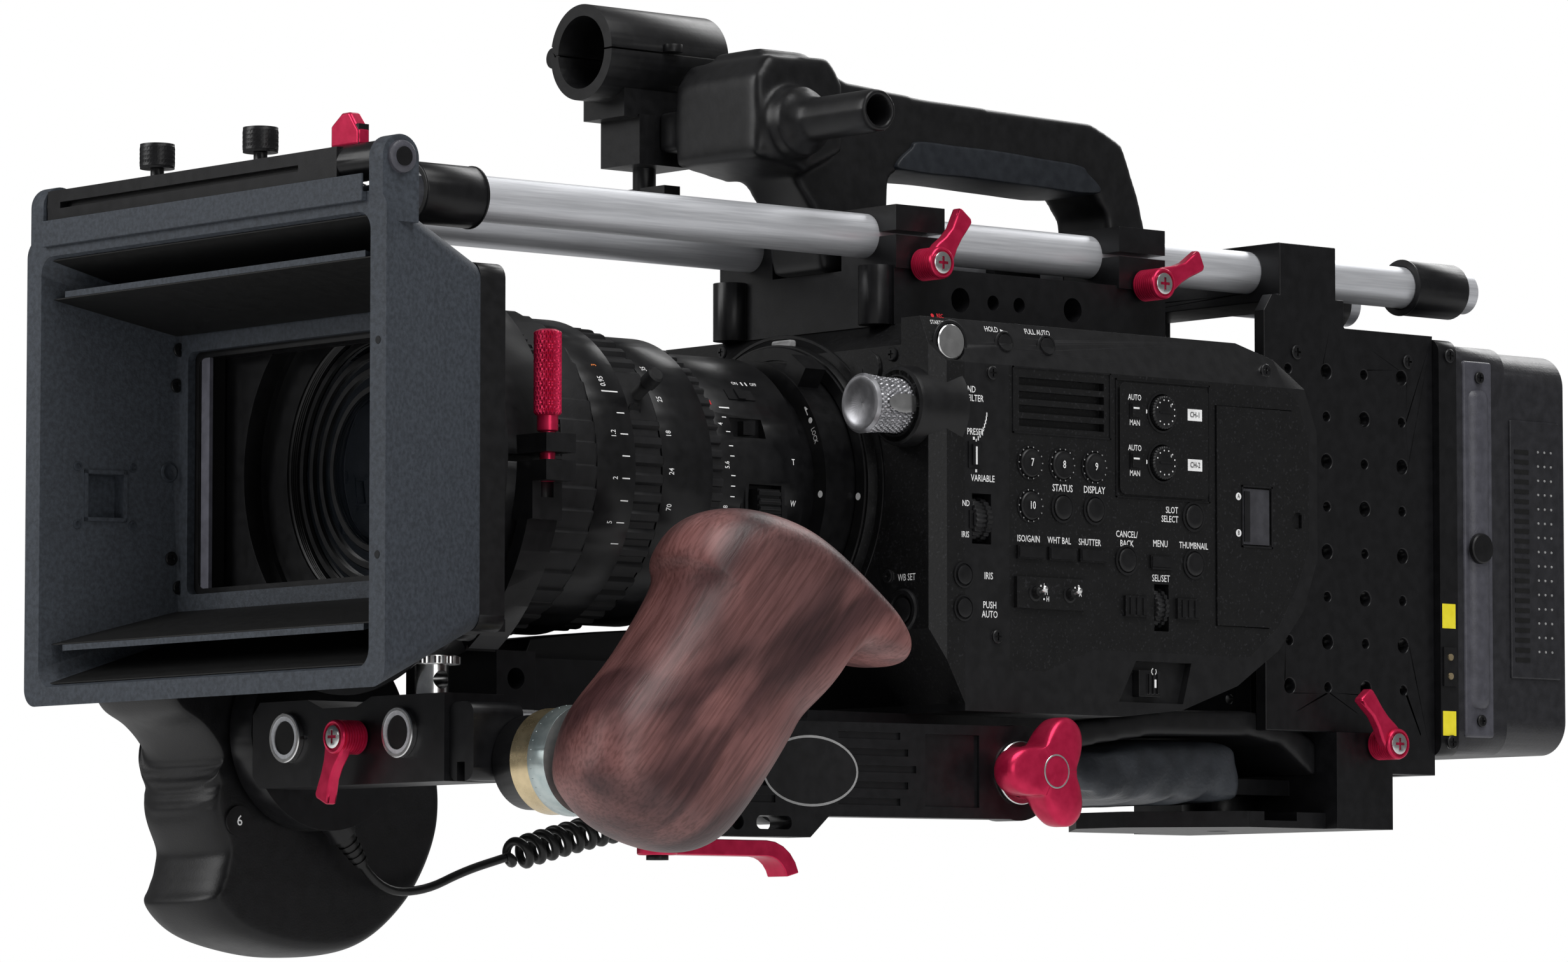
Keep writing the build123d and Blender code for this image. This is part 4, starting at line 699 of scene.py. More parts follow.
def leaning(y, z):
    """On the upper strip of the control side, which leans inwards."""
    return flat(on_lean(y, z) + LEAN_NORMAL * 0.1, Y_AXIS,
                Vector((-LEAN_RUN, 0.0, LEAN_RISE)).normalized())


def around_lens(angle_deg, y, r):
    """Reads up round the barrel, with the top of each letter towards the front."""
    return lambda u, v: lens_point(radians(angle_deg) + u / r, y - v, r)


def on_barrel(angle_deg, y, r):
    """Reads along the barrel towards the rear."""
    return lambda u, v: lens_point(radians(angle_deg) + v / r, y + u, r)


def patch(points):
    return points, [tuple(range(len(points)))]


def text(place, words, cap, narrow=0.78):
    points, faces = glyphs(words)
    size = cap / CAP_HEIGHT
    return [place(u * size * narrow, v * size) for u, v in points], faces


def bar(place, half_u, half_v, v=0.0):
    return patch([place(-half_u, v - half_v), place(half_u, v - half_v),
                  place(half_u, v + half_v), place(-half_u, v + half_v)])


def dot(place, r):
    return patch([place(r * cos(angle), r * sin(angle)) for angle in angles(16)])


def ink_piece(name, finish, shapes, body="rig"):
    return add_piece(name, finish, shapes, body, 60.0)


NUMBERED = (("7", -162.8, 118.8), ("8", -148.2, 118.8), ("9", -133.4, 118.8),
            ("10", -162.8, 104.4))


def panel_ink():
    words = [
        ("ND", -189.0, 141.9, 2.2), ("FILTER", -187.2, 139.0, 2.2),
        ("PRESET", -187.2, 127.8, 2.2), ("VARIABLE", -184.0, 112.4, 2.2),
        ("ND", -191.6, 103.8, 2.0), ("IRIS", -191.9, 93.4, 2.0),
        ("IRIS", -181.5, 80.0, 2.3), ("PUSH", -181.0, 70.3, 2.3), ("AUTO", -181.0, 67.2, 2.3),
        ("STATUS", -147.8, 110.9, 2.4), ("DISPLAY", -133.2, 111.0, 2.4),
        ("ISO/GAIN", -163.4, 93.2, 2.2), ("WHT BAL", -149.4, 93.2, 2.2),
        ("SHUTTER", -135.4, 93.2, 2.2), ("AUDIO", -86.9, 131.8, 2.2),
        ("LEVEL", -86.9, 128.6, 2.2), ("SLOT", -97.0, 105.9, 2.2), ("SELECT", -98.0, 102.8, 2.2),
        ("CANCEL/", -118.2, 96.7, 2.2), ("BACK", -118.2, 93.6, 2.2), ("MENU", -102.5, 94.2, 2.3),
        ("THUMBNAIL", -86.8, 94.2, 2.2), ("SEL/SET", -102.3, 82.4, 2.3),
    ]
    ink = [text(panel(y, z), word, cap) for word, y, z, cap in words]
    for word, y, z, cap in (("HOLD", -175.2, 163.2, 2.0), ("FULL AUTO", -154.2, 163.5, 2.0),
                            ("START/STOP", -197.6, 164.0, 1.5)):
        ink.append(text(leaning(y, z), word, cap))
    for word, y, z in (("L", -157.6, 77.6), ("M", -156.9, 75.4), ("H", -156.2, 73.2),
                       ("B", -142.0, 77.6), ("A", -141.3, 75.4)):
        ink += [text(panel(y, z, 1.72), word, 1.7), dot(panel(y - 1.7, z, 1.72), 0.35)]
    for z in DIAL_ROWS:
        ink += [text(panel(-115.2, z + 4.4, 1.12), "AUTO", 2.0),
                text(panel(-115.2, z - 4.2, 1.12), "MAN", 2.0),
                bar(panel(-115.2, z, 2.02), 1.4, 0.3, 0.8)]
        pointer = panel(-109.9, z, 1.12)
        ink.append(patch([pointer(0.0, 0.8), pointer(0.0, -0.8), pointer(1.4, 0.0)]))
        for step in range(11):
            angle = radians(160.0 - step * 29.0)
            ink.append(dot(panel(DIAL_Y + 4.2 * cos(angle), z + 4.2 * sin(angle), 3.05), 0.26))
        ink.append(text(panel(-100.0, z + 2.3, 3.05), "0", 1.0))
    ink += [text(panel(y, z, 1.62), word, 2.6) for word, y, z in NUMBERED]
    # marks beside the two filter switches, the hold arrow and the power switch
    ink += [bar(panel(-188.0, 125.2), 0.4, 0.5, 0.5), bar(panel(-187.0, 114.4), 0.4, 0.5, 0.5),
            bar(panel(-187.8, 119.9, 1.35), 0.35, 3.0)]
    arrow = leaning(-169.6, 163.0)
    ink.append(patch([arrow(-1.6, -0.8), arrow(2.0, -0.8), arrow(-1.6, 0.7)]))
    for step in range(9):
        angle = radians(-8.0 - step * 5.0)
        ink.append(bar(panel(-197.0 + 15.0 * cos(angle), 136.0 + 15.0 * sin(angle)), 0.22, 0.7))
    ink += [dot(panel(y, 50.4, -2.85), 0.3) for y in (-112.6, -111.4, -117.2)]
    ink.append(bar(panel(-106.2, 46.5, 1.3), 0.45, 1.4))
    for step in range(12):
        angle = radians(120.0 + step * 25.0)
        ink.append(dot(panel(-106.6 + 1.1 * cos(angle), 50.6 + 1.1 * sin(angle), 1.0), 0.2))
    ink_piece("panel_lettering", WHITE, ink)
    ink_piece("channel_plates", WHITE,
              [bar(panel(-86.9, z, 1.1), 3.4, 2.0) for z in DIAL_ROWS]
              + [dot(panel(-65.9, z, 0.75), 1.3) for z in (112.2, 99.6)])
    ink_piece("plate_lettering", DEEP, [
        text(panel(y, z, out), word, cap) for word, y, z, out, cap in (
            ("CH-1", -86.9, 139.0, 1.25, 1.9), ("CH-2", -86.9, 121.8, 1.25, 1.9),
            ("A", -65.9, 112.2, 0.9, 1.5), ("B", -65.9, 99.6, 0.9, 1.5))])


panel_ink()


# ---------------------------------------------------------------- knobs, keys and buttons
def knurled_handle():
    rows = [(0.0, 3.0), (0.4, 3.4), (5.0, 3.4), (5.4, 4.0)]
    rows += [(at, 4.5) for at in rows_between(6.0, 31.6, 0.4)]
    rows += [(32.0, 4.1), (32.6, 2.8), (32.7, 0.2)]
    handle = add_piece("adaptor_clamp_handle", RED, [
        turned((70.0, -363.0, 118.8), Z_AXIS, rows, 88, knurl(22, 3.0, 0.55, 5.8, 31.8)),
        turned((70.0, -363.0, 103.0), Z_AXIS, [(0.0, 2.5), (16.0, 2.5)], 24)],
        "clamp_handle", 40.0)
    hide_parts("clamp_handle")


def filter_selector():
    """Knurled selector knob with a dished end and a smooth badge plate."""
    x, z = 66.0, 136.0
    rows = [(1.4, 0.2), (1.2, 4.0), (0.4, 6.8), (0.0, 7.6), (0.2, 9.1), (0.9, 9.7)]
    rows += [(at, 10.0 - 0.8 * sin(pi * (at - 1.2) / 22.0)) for at in rows_between(1.2, 23.2, 0.4)]
    rows += [(24.0, 9.5), (27.0, 9.5)]
    knob = add_piece("filter_selector_knob", KNOB_METAL, [
        turned((x, -228.0, z), Y_AXIS, rows, 176, knurl(36, 2.6, 0.6, 1.3, 23.1))],
        "filter_knob", 40.0)
    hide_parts("filter_knob")
    badge_y, half_length, half_width, knob_r = -216.5, 7.2, 3.2, 10.05
    plate = []
    for angle in angles(24):
        rise = half_width * sin(angle)
        plate.append((x + sqrt(knob_r ** 2 - rise * rise) + 0.1,
                      badge_y + half_length * cos(angle), z + rise))
    faces = [(step, (step + 1) % 24, 24) for step in range(24)]
    ink_piece("selector_badge", POLISHED,
              [(plate + [(76.15, badge_y, z)], faces)], "filter_knob")
    collar = [(-5.0, 10.4), (-5.0, 12.2), (-4.4, 13.0), (-3.0, 13.4), (6.0, 14.0), (14.0, 15.8),
              (14.2, 10.4)]
    add_piece("selector_collar", TRIM,
              [turned((x, -207.0, z), Y_AXIS, collar, 64, loop=True)])


def spun_record_button():
    rows = [(0.0, 5.6), (0.4, 5.8), (1.2, 5.9), (1.5, 5.5)]
    for groove in range(8):
        r = 5.2 - groove * 0.6
        rows += [(1.5, r), (1.42, r - 0.3)]
    rows.append((1.48, 0.2))
    seat = Vector((75.29, -196.2, 157.2))
    button = add_piece("record_button_cap", POLISHED,
                       [turned(seat - LEAN_NORMAL * 0.4, LEAN_NORMAL, rows, 64)],
                       "record_button", 30.0)
    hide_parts("record_button")
    rims = [turned(seat, LEAN_NORMAL, tube_profile(-0.4, 0.6, 6.4, 7.6), 48, loop=True)]
    for y in (-171.2, -152.0):
        spot = on_lean(y, 158.6)
        rims += [turned(spot, LEAN_NORMAL, tube_profile(-0.4, 0.5, 3.3, 4.2), 32, loop=True),
                 turned(spot, LEAN_NORMAL, [(0.7, 2.9), (1.0, 2.7), (1.05, 2.2), (0.9, 0.2)], 32)]
    add_piece("button_rims", SMOOTH, rims)


def numbered_buttons():
    def round_button(y, z, *profiles, segments=40):
        return [turned((PANEL_X, y, z), X_AXIS, profile, segments) for profile in profiles]

    def dots_round(y, z, out, profile, segments, r=5.35):
        return [turned((PANEL_X + out, y + r * cos(angle), z + r * sin(angle)), X_AXIS,
                       profile, segments) for angle in angles(14)]
    shapes, dots = [], []
    for word, y, z in NUMBERED:
        shapes += round_button(
            y, z, [(-0.3, 5.8), (0.3, 5.8), (0.4, 5.2), (0.1, 5.0)],
            [(0.0, 4.75), (1.1, 4.7), (1.45, 4.3), (1.5, 3.6), (1.2, 3.0), (1.15, 0.2)])
        shapes += dots_round(y, z, 0.35, [(0.0, 0.42), (0.35, 0.35), (0.42, 0.1)], 10)
        dots += dots_round(y, z, 0.7, [(0.0, 0.28), (0.12, 0.2), (0.13, 0.05)], 8)
    for y, z in ((-148.0, 104.4), (-133.2, 104.4), (-118.4, 88.0), (-86.7, 88.0), (-86.9, 104.2)):
        shapes += round_button(y, z, [(-0.3, 5.2), (0.5, 5.2), (0.6, 4.4), (0.2, 4.2)],
                               [(0.0, 3.9), (0.9, 3.85), (1.2, 3.4), (1.25, 2.0), (1.1, 0.2)])
    for z in (80.0, 69.0):
        shapes += round_button(-192.8, z, [(-0.3, 4.4), (0.5, 4.4), (0.6, 3.8), (0.2, 3.6),
                                           (0.2, 3.2), (1.0, 3.1), (1.2, 2.6), (1.2, 0.2)],
                               segments=36)
    add_piece("panel_buttons", TRIM, shapes)
    add_piece("button_dots", GREY_INK, dots)


def frame_boxes(x0, x1, y0, y1, z0, z1, line):
    return [box((x0, y0, z0), (x1, y1, z0 + line)), box((x0, y0, z1 - line), (x1, y1, z1)),
            box((x0, y0, z0), (x1, y0 + line, z1)), box((x0, y1 - line, z0), (x1, y1, z1))]


def panel_controls():
    def ribbed(radius, angle, along):
        return radius - 0.3 * max(0.0, cos(angle * 30)) if radius > 5.0 else radius
    shapes = []
    # sound dials: ribbed skirt and flat cap
    for z in DIAL_ROWS:
        shapes += [
            turned((79.0, DIAL_Y, z), X_AXIS, [(-0.2, 7.0), (0.3, 7.0), (0.4, 6.3), (0.0, 6.1)],
                   60),
            turned((79.0, DIAL_Y, z), X_AXIS,
                   [(0.0, 5.8), (1.5, 5.7), (1.9, 5.2), (2.0, 4.9), (2.0, 0.2)], 120, ribbed),
            box((81.0, DIAL_Y - 3.0, z - 0.35), (81.35, DIAL_Y + 3.0, z + 0.35)),
            box((79.0, -117.6, z - 2.9), (79.5, -112.8, z + 2.9))]
    # thin seams of the panel's sub frames
    for y0, y1, z0, z1 in ((-170.5, -125.5, 128.5, 151.0), (-123.2, -79.0, 109.2, 149.6)):
        shapes += frame_boxes(PANEL_X, PANEL_X + 0.35, y0, y1, z0, z1, 0.5)
    # key caps: three long keys, menu key, side keys of the select wheel
    for step in range(3):
        y = -169.0 + step * 14.2
        shapes.append(box((79.0, y + 0.5, 87.0), (79.5, y + 11.9, 90.6)))
    shapes += [box((78.7, -107.0, 86.2), (79.2, -98.0, 89.8)),
               box((79.3, -107.6, 85.4), (79.6, -97.4, 86.0))]
    for y in (-114.3, -89.9):
        for groove in range(3):
            at = y - 3.6 + groove * 3.0
            shapes.append(box((79.1, at, 69.6), (79.6, at + 1.8, 75.4)))
    # slider beds of the two front filter switches
    for y, z0, z1 in ((-187.6, 115.8, 124.6), (-187.2, 95.6, 101.6)):
        shapes += [box((77.9, y - 3.0, z0), (78.5, y + 3.0, z1)),
                   box((78.4, y - 1.7, z0 + 1.0), (79.3, y + 1.7, z1 - 1.0))]
    add_piece("panel_key_caps", TRIM, shapes, crease=25.0)
    toggles = (-161.8, -146.1)
    toggle_z = 75.2
    lean = (1.0, 0.25, 0.35)
    add_piece("toggle_tips", POLISHED, [
        turned((80.4, y, toggle_z), lean,
               [(0.0, 0.8), (2.2, 0.9), (3.0, 1.1), (3.8, 1.05), (4.2, 0.6), (4.3, 0.1)], 24)
        for y in toggles])
    add_piece("toggle_collars", RING, [
        turned((79.5, y, toggle_z), X_AXIS, [(0.0, 3.0), (0.3, 2.9), (0.5, 2.2), (0.4, 2.0)], 32)
        for y in toggles])


def fluted_wheel(name, node, y, z, half, radius, teeth):
    def shape(r, angle, along):
        return r if r < radius - 0.9 else r - 0.55 * (0.5 + 0.5 * cos(angle * teeth))
    rows = [(-half, 1.3), (-half, radius - 1.2), (-half + 0.3, radius - 0.3),
            (-half + 0.8, radius), (-half * 0.3, radius), (-half * 0.25, radius - 0.7)]
    rows += [(-along, r) for along, r in reversed(rows)]
    wheel = add_piece(name, RUBBER,
                      [turned((72.6, y, z), Y_AXIS, rows, teeth * 8, shape, loop=True)],
                      node, 30.0)
    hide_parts(node)


def door_details():
    add_piece("door_window", PANE,
              [box((78.05, -63.3, 95.9), (78.35, -50.7, 115.1))], "card_door")
    add_piece("door_window_rim", SMOOTH,
              frame_boxes(78.5, 78.95, -64.4, -49.6, 94.8, 116.2, 0.6)
              + [box((78.5, -63.0, 96.8), (78.8, -60.4, 114.2))], "card_door")


knurled_handle()
filter_selector()
spun_record_button()
numbered_buttons()
panel_controls()
fluted_wheel("iris_dial_wheel", "iris_dial", -184.5, 99.0, 3.9, 7.6, 26)
fluted_wheel("select_dial_wheel", "select_wheel", -102.0, 72.5, 2.9, 7.2, 24)
door_details()


# ---------------------------------------------------------------- grips with rounded bodies
def spline_outline(points, steps):
    dense = []
    count = len(points)
    for i in range(count):
        p = [points[i - 1], points[i], points[(i + 1) % count], points[(i + 2) % count]]
        for step in range(steps):
            t = step / steps
            dense.append(tuple(
                0.5 * (2 * b + (c - a) * t + (2 * a - 5 * b + 4 * c - d) * t ** 2
                       + (3 * b - a - 3 * c + d) * t ** 3) for a, b, c, d in zip(*p)))
    return dense


def nearest_on_line(line, y, z):
    spots = []
    for (y0, z0), (y1, z1) in zip(line, line[1:]):
        span = (y1 - y0) ** 2 + (z1 - z0) ** 2
        t = max(0.0, min(1.0, ((y - y0) * (y1 - y0) + (z - z0) * (z1 - z0)) / span))
        spots.append((y0 + (y1 - y0) * t, z0 + (z1 - z0) * t))
    return min(spots, key=lambda spot: hypot(y - spot[0], z - spot[1]))


def add_subdivision(piece, render_levels):
    smooth = piece.modifiers.new("smooth_surface", "SUBSURF")
    smooth.levels = 1
    smooth.render_levels = render_levels


def rounded_body(name, outline, spine, x0, x1, near, far, finish, body, ribs=None,
                 power=2.4):
    """A body whose cross-section across X is rounded: every ring of the outline shrinks
    towards the spine line as it nears the two faces."""
    dense = spline_outline(outline, 5)
    roots = [nearest_on_line(spine, y, z) for y, z in dense]
    levels = 26
    points = []
    for level in range(levels + 1):
        t = -cos(pi * level / levels)
        x = (x0 + x1) / 2 + (x1 - x0) / 2 * t
        keep = near if t < 0 else far
        k = keep + (1.0 - keep) * max(0.0, 1.0 - abs(t) ** power) ** (1.0 / power)
        for (y, z), (root_y, root_z) in zip(dense, roots):
            y, z = root_y + (y - root_y) * k, root_z + (z - root_z) * k
            if ribs:
                y, z = ribs(y, z, root_z)
            points.append((x, y, z))
    count = len(dense)
    faces = []
    for level in range(levels):
        faces += band(level * count, (level + 1) * count, count)
    faces.append(tuple(range(count)))
    faces.append(tuple(range(levels * count, (levels + 1) * count)))
    piece = add_piece(name, finish, [(points, faces)], body, 80.0)
    work = bmesh.new()
    work.from_mesh(piece.data)
    caps = [face for face in work.faces if len(face.verts) > 4]
    bmesh.ops.triangulate(work, faces=caps)
    bmesh.ops.recalc_face_normals(work, faces=work.faces)
    work.to_mesh(piece.data)
    work.free()
    piece.data.shade_smooth()
    add_subdivision(piece, 2)
    return piece


wood_outline = [(-387.0, 14.0), (-385.0, 3.0), (-371.0, -9.0), (-350.0, -15.0), (-335.0, -12.0),
                (-323.0, -2.0), (-306.0, 19.0), (-294.0, 37.0), (-282.0, 49.0), (-271.0, 47.0),
                (-260.0, 46.0), (-258.0, 54.0), (-267.0, 66.0), (-284.0, 80.0), (-301.0, 90.0),
                (-323.0, 94.0), (-339.0, 90.0), (-348.0, 80.0), (-348.0, 70.0), (-364.0, 48.0),
                (-381.0, 30.0)]
wood_spine = [(-362.0, 12.0), (-340.0, 36.0), (-324.0, 60.0), (-312.0, 70.0), (-292.0, 66.0),
              (-272.0, 56.0)]
wood = rounded_body("walnut_grip", wood_outline, wood_spine, 93.6, 132.6, 0.42, 0.24, WOOD,
                    "wood_grip")
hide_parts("wood_grip")

grip_outline = [(-408.5, 34.0), (-399.0, 28.5), (-392.5, 21.0), (-391.0, 15.0), (-394.5, 8.0),
                (-395.5, 0.0), (-391.0, -13.0), (-394.0, -24.0), (-396.0, -30.0), (-387.0, -38.5),
                (-373.0, -43.5), (-353.0, -46.5), (-334.0, -44.5), (-318.0, -35.0),
                (-304.0, -19.0), (-297.0, 0.0), (-300.0, 22.0), (-318.0, 44.0), (-345.0, 52.0),
                (-385.0, 51.0), (-404.0, 48.0), (-412.0, 41.0)]
grip_spine = [(-398.0, 40.0), (-375.0, 32.0), (-362.0, 10.0), (-358.0, -16.0), (-335.0, -18.0),
              (-328.0, 6.0)]


def rib_height(at, low, high, pitch):
    """Moulded ribs between two places, fading out at both ends."""
    fade = min(1.0, (at - low) / 5.0, (high - at) / 5.0)
    return max(0.0, fade) * (0.5 + 0.5 * cos(2 * pi * at / pitch))


def finger_ribs(y, z, root_z):
    return (y + 0.7 * rib_height(z, -22.0, 20.0, 3.2) if y <= -372.0 else y), z


grip = rounded_body("rubber_grip", grip_outline, grip_spine, -116.4, -66.2, 0.10, 0.80, GRIP_BLACK,
                    "hand_grip", finger_ribs, 2.8)
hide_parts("hand_grip")

pad_outline = [(-167.0, 224.0), (-160.0, 231.0), (-150.0, 234.5), (-86.0, 232.5), (-76.0, 229.0),
               (-69.0, 223.0), (-78.0, 221.6), (-90.0, 221.6), (-145.0, 222.4), (-158.0, 222.8)]
pad_spine = [(-156.0, 227.6), (-80.0, 226.0)]


def pad_ribs(y, z, root_z):
    """Shallow flutes along the middle of the handle's soft pad, above and below."""
    return y, z + (0.5 if z < root_z else -0.5) * rib_height(y, -146.0, -92.0, 4.0)


rounded_body("handle_soft_pad", pad_outline, pad_spine, -15.4, 15.4, 0.72, 0.72, PAD_RUBBER, "rig",
             pad_ribs, 5.0)


# ---------------------------------------------------------------- red levers and the wing knob
def clamp_lever(node, hub, axis, length, reach):
    """Ridged hub with a flared arm; hub is where the screw's head sits, axis points at it."""
    hub = Vector(hub)
    reach = Vector(reach)
    across = axis.cross(reach.normalized())
    rows = [(-length, 4.6), (-length + 0.3, 5.0)]
    at = -length + 0.8
    while at < -1.6:
        rows += [(at, 5.0), (at + 0.15, 5.5), (at + 0.6, 5.5), (at + 0.75, 5.0)]
        at += 1.05
    rows += [(-0.9, 5.5), (-0.3, 5.3), (0.0, 4.9), (-0.1, 4.4), (-0.7, 4.3), (-0.7, 0.2)]
    hub_piece = add_piece(node + "_hub", RED, [turned(hub, axis, rows, 56)], node,
                          30.0)
    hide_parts(node)
    stations = ((0.0, 5.0, 5.0), (0.22, 4.6, 4.4), (0.42, 3.4, 3.2), (0.62, 3.0, 2.8),
                (0.82, 3.9, 2.9), (0.96, 4.5, 2.9), (1.0, 4.1, 1.6))
    root = hub - axis * 1.2
    edge = [root + reach * part + across * left for part, left, right in stations]
    edge += [root + reach * part - across * right for part, left, right in reversed(stations)]
    thickness = 4.2
    arm = add_piece(node + "_arm", RED, [slab(edge, axis * -thickness)], node,
                    30.0)
    round_edges(arm, 1.2)
    add_piece(node + "_screw", POLISHED, [screw_head(hub - axis * 0.6, axis, 3.7, 0.9)],
              node, 30.0)


def three_lobed_knob():
    def lobed(radius, angle, along):
        if radius < 9.2:
            return radius
        lobe = (0.5 + 0.5 * cos(3 * (angle - radians(60.0)))) ** 0.9
        return 9.2 + (radius - 9.2) * (0.04 + 0.96 * lobe)
    rows = [(-2.6, 6.0), (-2.6, 8.0), (0.6, 8.0), (1.2, 9.0), (3.2, 9.2), (4.0, 13.0),
            (4.9, 18.2), (6.2, 19.8), (7.6, 20.0), (12.6, 20.0), (13.6, 19.4), (14.5, 17.4),
            (15.1, 13.0), (15.3, 9.2), (15.4, 0.2)]
    knob = add_piece("wing_lobes", RED,
                     [turned((79.0, WING_Y, WING_Z), X_AXIS, rows, 120, lobed)], "wing_knob", 45.0)
    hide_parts("wing_knob")
    add_piece("wing_badge_rim", PALE_BLUE, [
        turned((94.35, WING_Y, WING_Z), X_AXIS, tube_profile(0.0, 0.28, 5.2, 5.7, 0.1), 40,
               loop=True)], "wing_knob")
    add_piece("wing_washer", POLISHED, [
        turned((76.1, WING_Y, WING_Z), X_AXIS, tube_profile(0.0, 1.2, 8.3, 10.6), 48, loop=True)],
        "side_arm")


def arm_lock_lever():
    """Flat red lever under the arm: a round hub and a blade that curls down at its end."""
    hub_x, hub_y = 70.5, -318.0
    bend_y, bend_z = -276.0, -23.2
    blade = [(hub_y, -14.4), (hub_y, -9.2)]
    for radius, sweep in ((14.0, range(90, 0, -15)), (8.8, range(15, 91, 15))):
        for angle in map(radians, sweep):
            blade.append((bend_y + radius * cos(angle), bend_z + radius * sin(angle)))
    hub = [(0.0, 6.1), (0.15, 6.45), (0.5, 6.6), (5.0, 6.6), (5.35, 6.45), (5.5, 6.1)]
    lever = add_piece("arm_lever_blade", RED, [
        slab([(hub_x - 5.0, y, z) for y, z in blade], (10.0, 0, 0)),
        turned((hub_x, hub_y, -14.6), Z_AXIS, hub, 48)], "lever_arm", 30.0)
    round_edges(lever, 0.8)
    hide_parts("lever_arm")


arm_lock_lever()
clamp_lever("lever_top_front", (57.3, -183.0, 186.5), X_AXIS, 11.0, (0.0, 13.0, 17.0))
clamp_lever("lever_top_rear", (57.3, -80.0, 186.5), X_AXIS, 11.0, (0.0, 20.0, 9.0))
clamp_lever("lever_rear", (63.3, 28.0, 30.0), X_AXIS, 11.0, (0.0, -14.5, 18.0))
clamp_lever("lever_bracket", (8.0, -401.0, 23.0), -Y_AXIS, 10.7, (-9.0, 0.0, -20.0))
three_lobed_knob()


# ---------------------------------------------------------------- screws and small hardware
def on_hood_wall(y, z):
    return Vector((-76.5 + HOOD_SLOPE * (y + 401.0), y, z))


def screws_on_rig():
    places = [((78.2, -178.0, 60.0), X_AXIS), ((78.2, -180.0, 148.0), X_AXIS),
              ((75.9, -50.0, 156.5), LEAN_NORMAL)]
    places += [((x, -206.2, z), -Y_AXIS) for x, z in (
        (-52.0, 150.0), (56.0, 80.0), (-52.0, 70.0), (58.0, 154.0), (-30.0, 161.0))]
    heads = [screw_head(point, axis, 2.3, 0.9) for point, axis in places]
    heads += [screw_head((50.1, 68.0, z), X_AXIS, 2.5, 1.0) for z in (32.0, 171.0)]
    heads += [screw_head((47.0, y, 168.0), X_AXIS, 2.6, 0.8) for y in (-6.0, 50.0)]
    heads += [screw_head(on_hood_wall(y, z), HOOD_WALL, 2.3, 0.9) for y, z in (
        (-402.2, 141.2), (-403.6, 84.1), (-401.4, 153.0), (-401.0, 74.6))]
    add_piece("rig_screw_heads", TRIM, heads, crease=25.0)
    for latch, x, z in (("latch_top", 42.0, 165.0), ("latch_bottom", 44.0, 59.0)):
        add_piece(latch + "_screw", TRIM,
                  [screw_head((x, -372.6, z), Y_AXIS, 3.8, 1.0)])


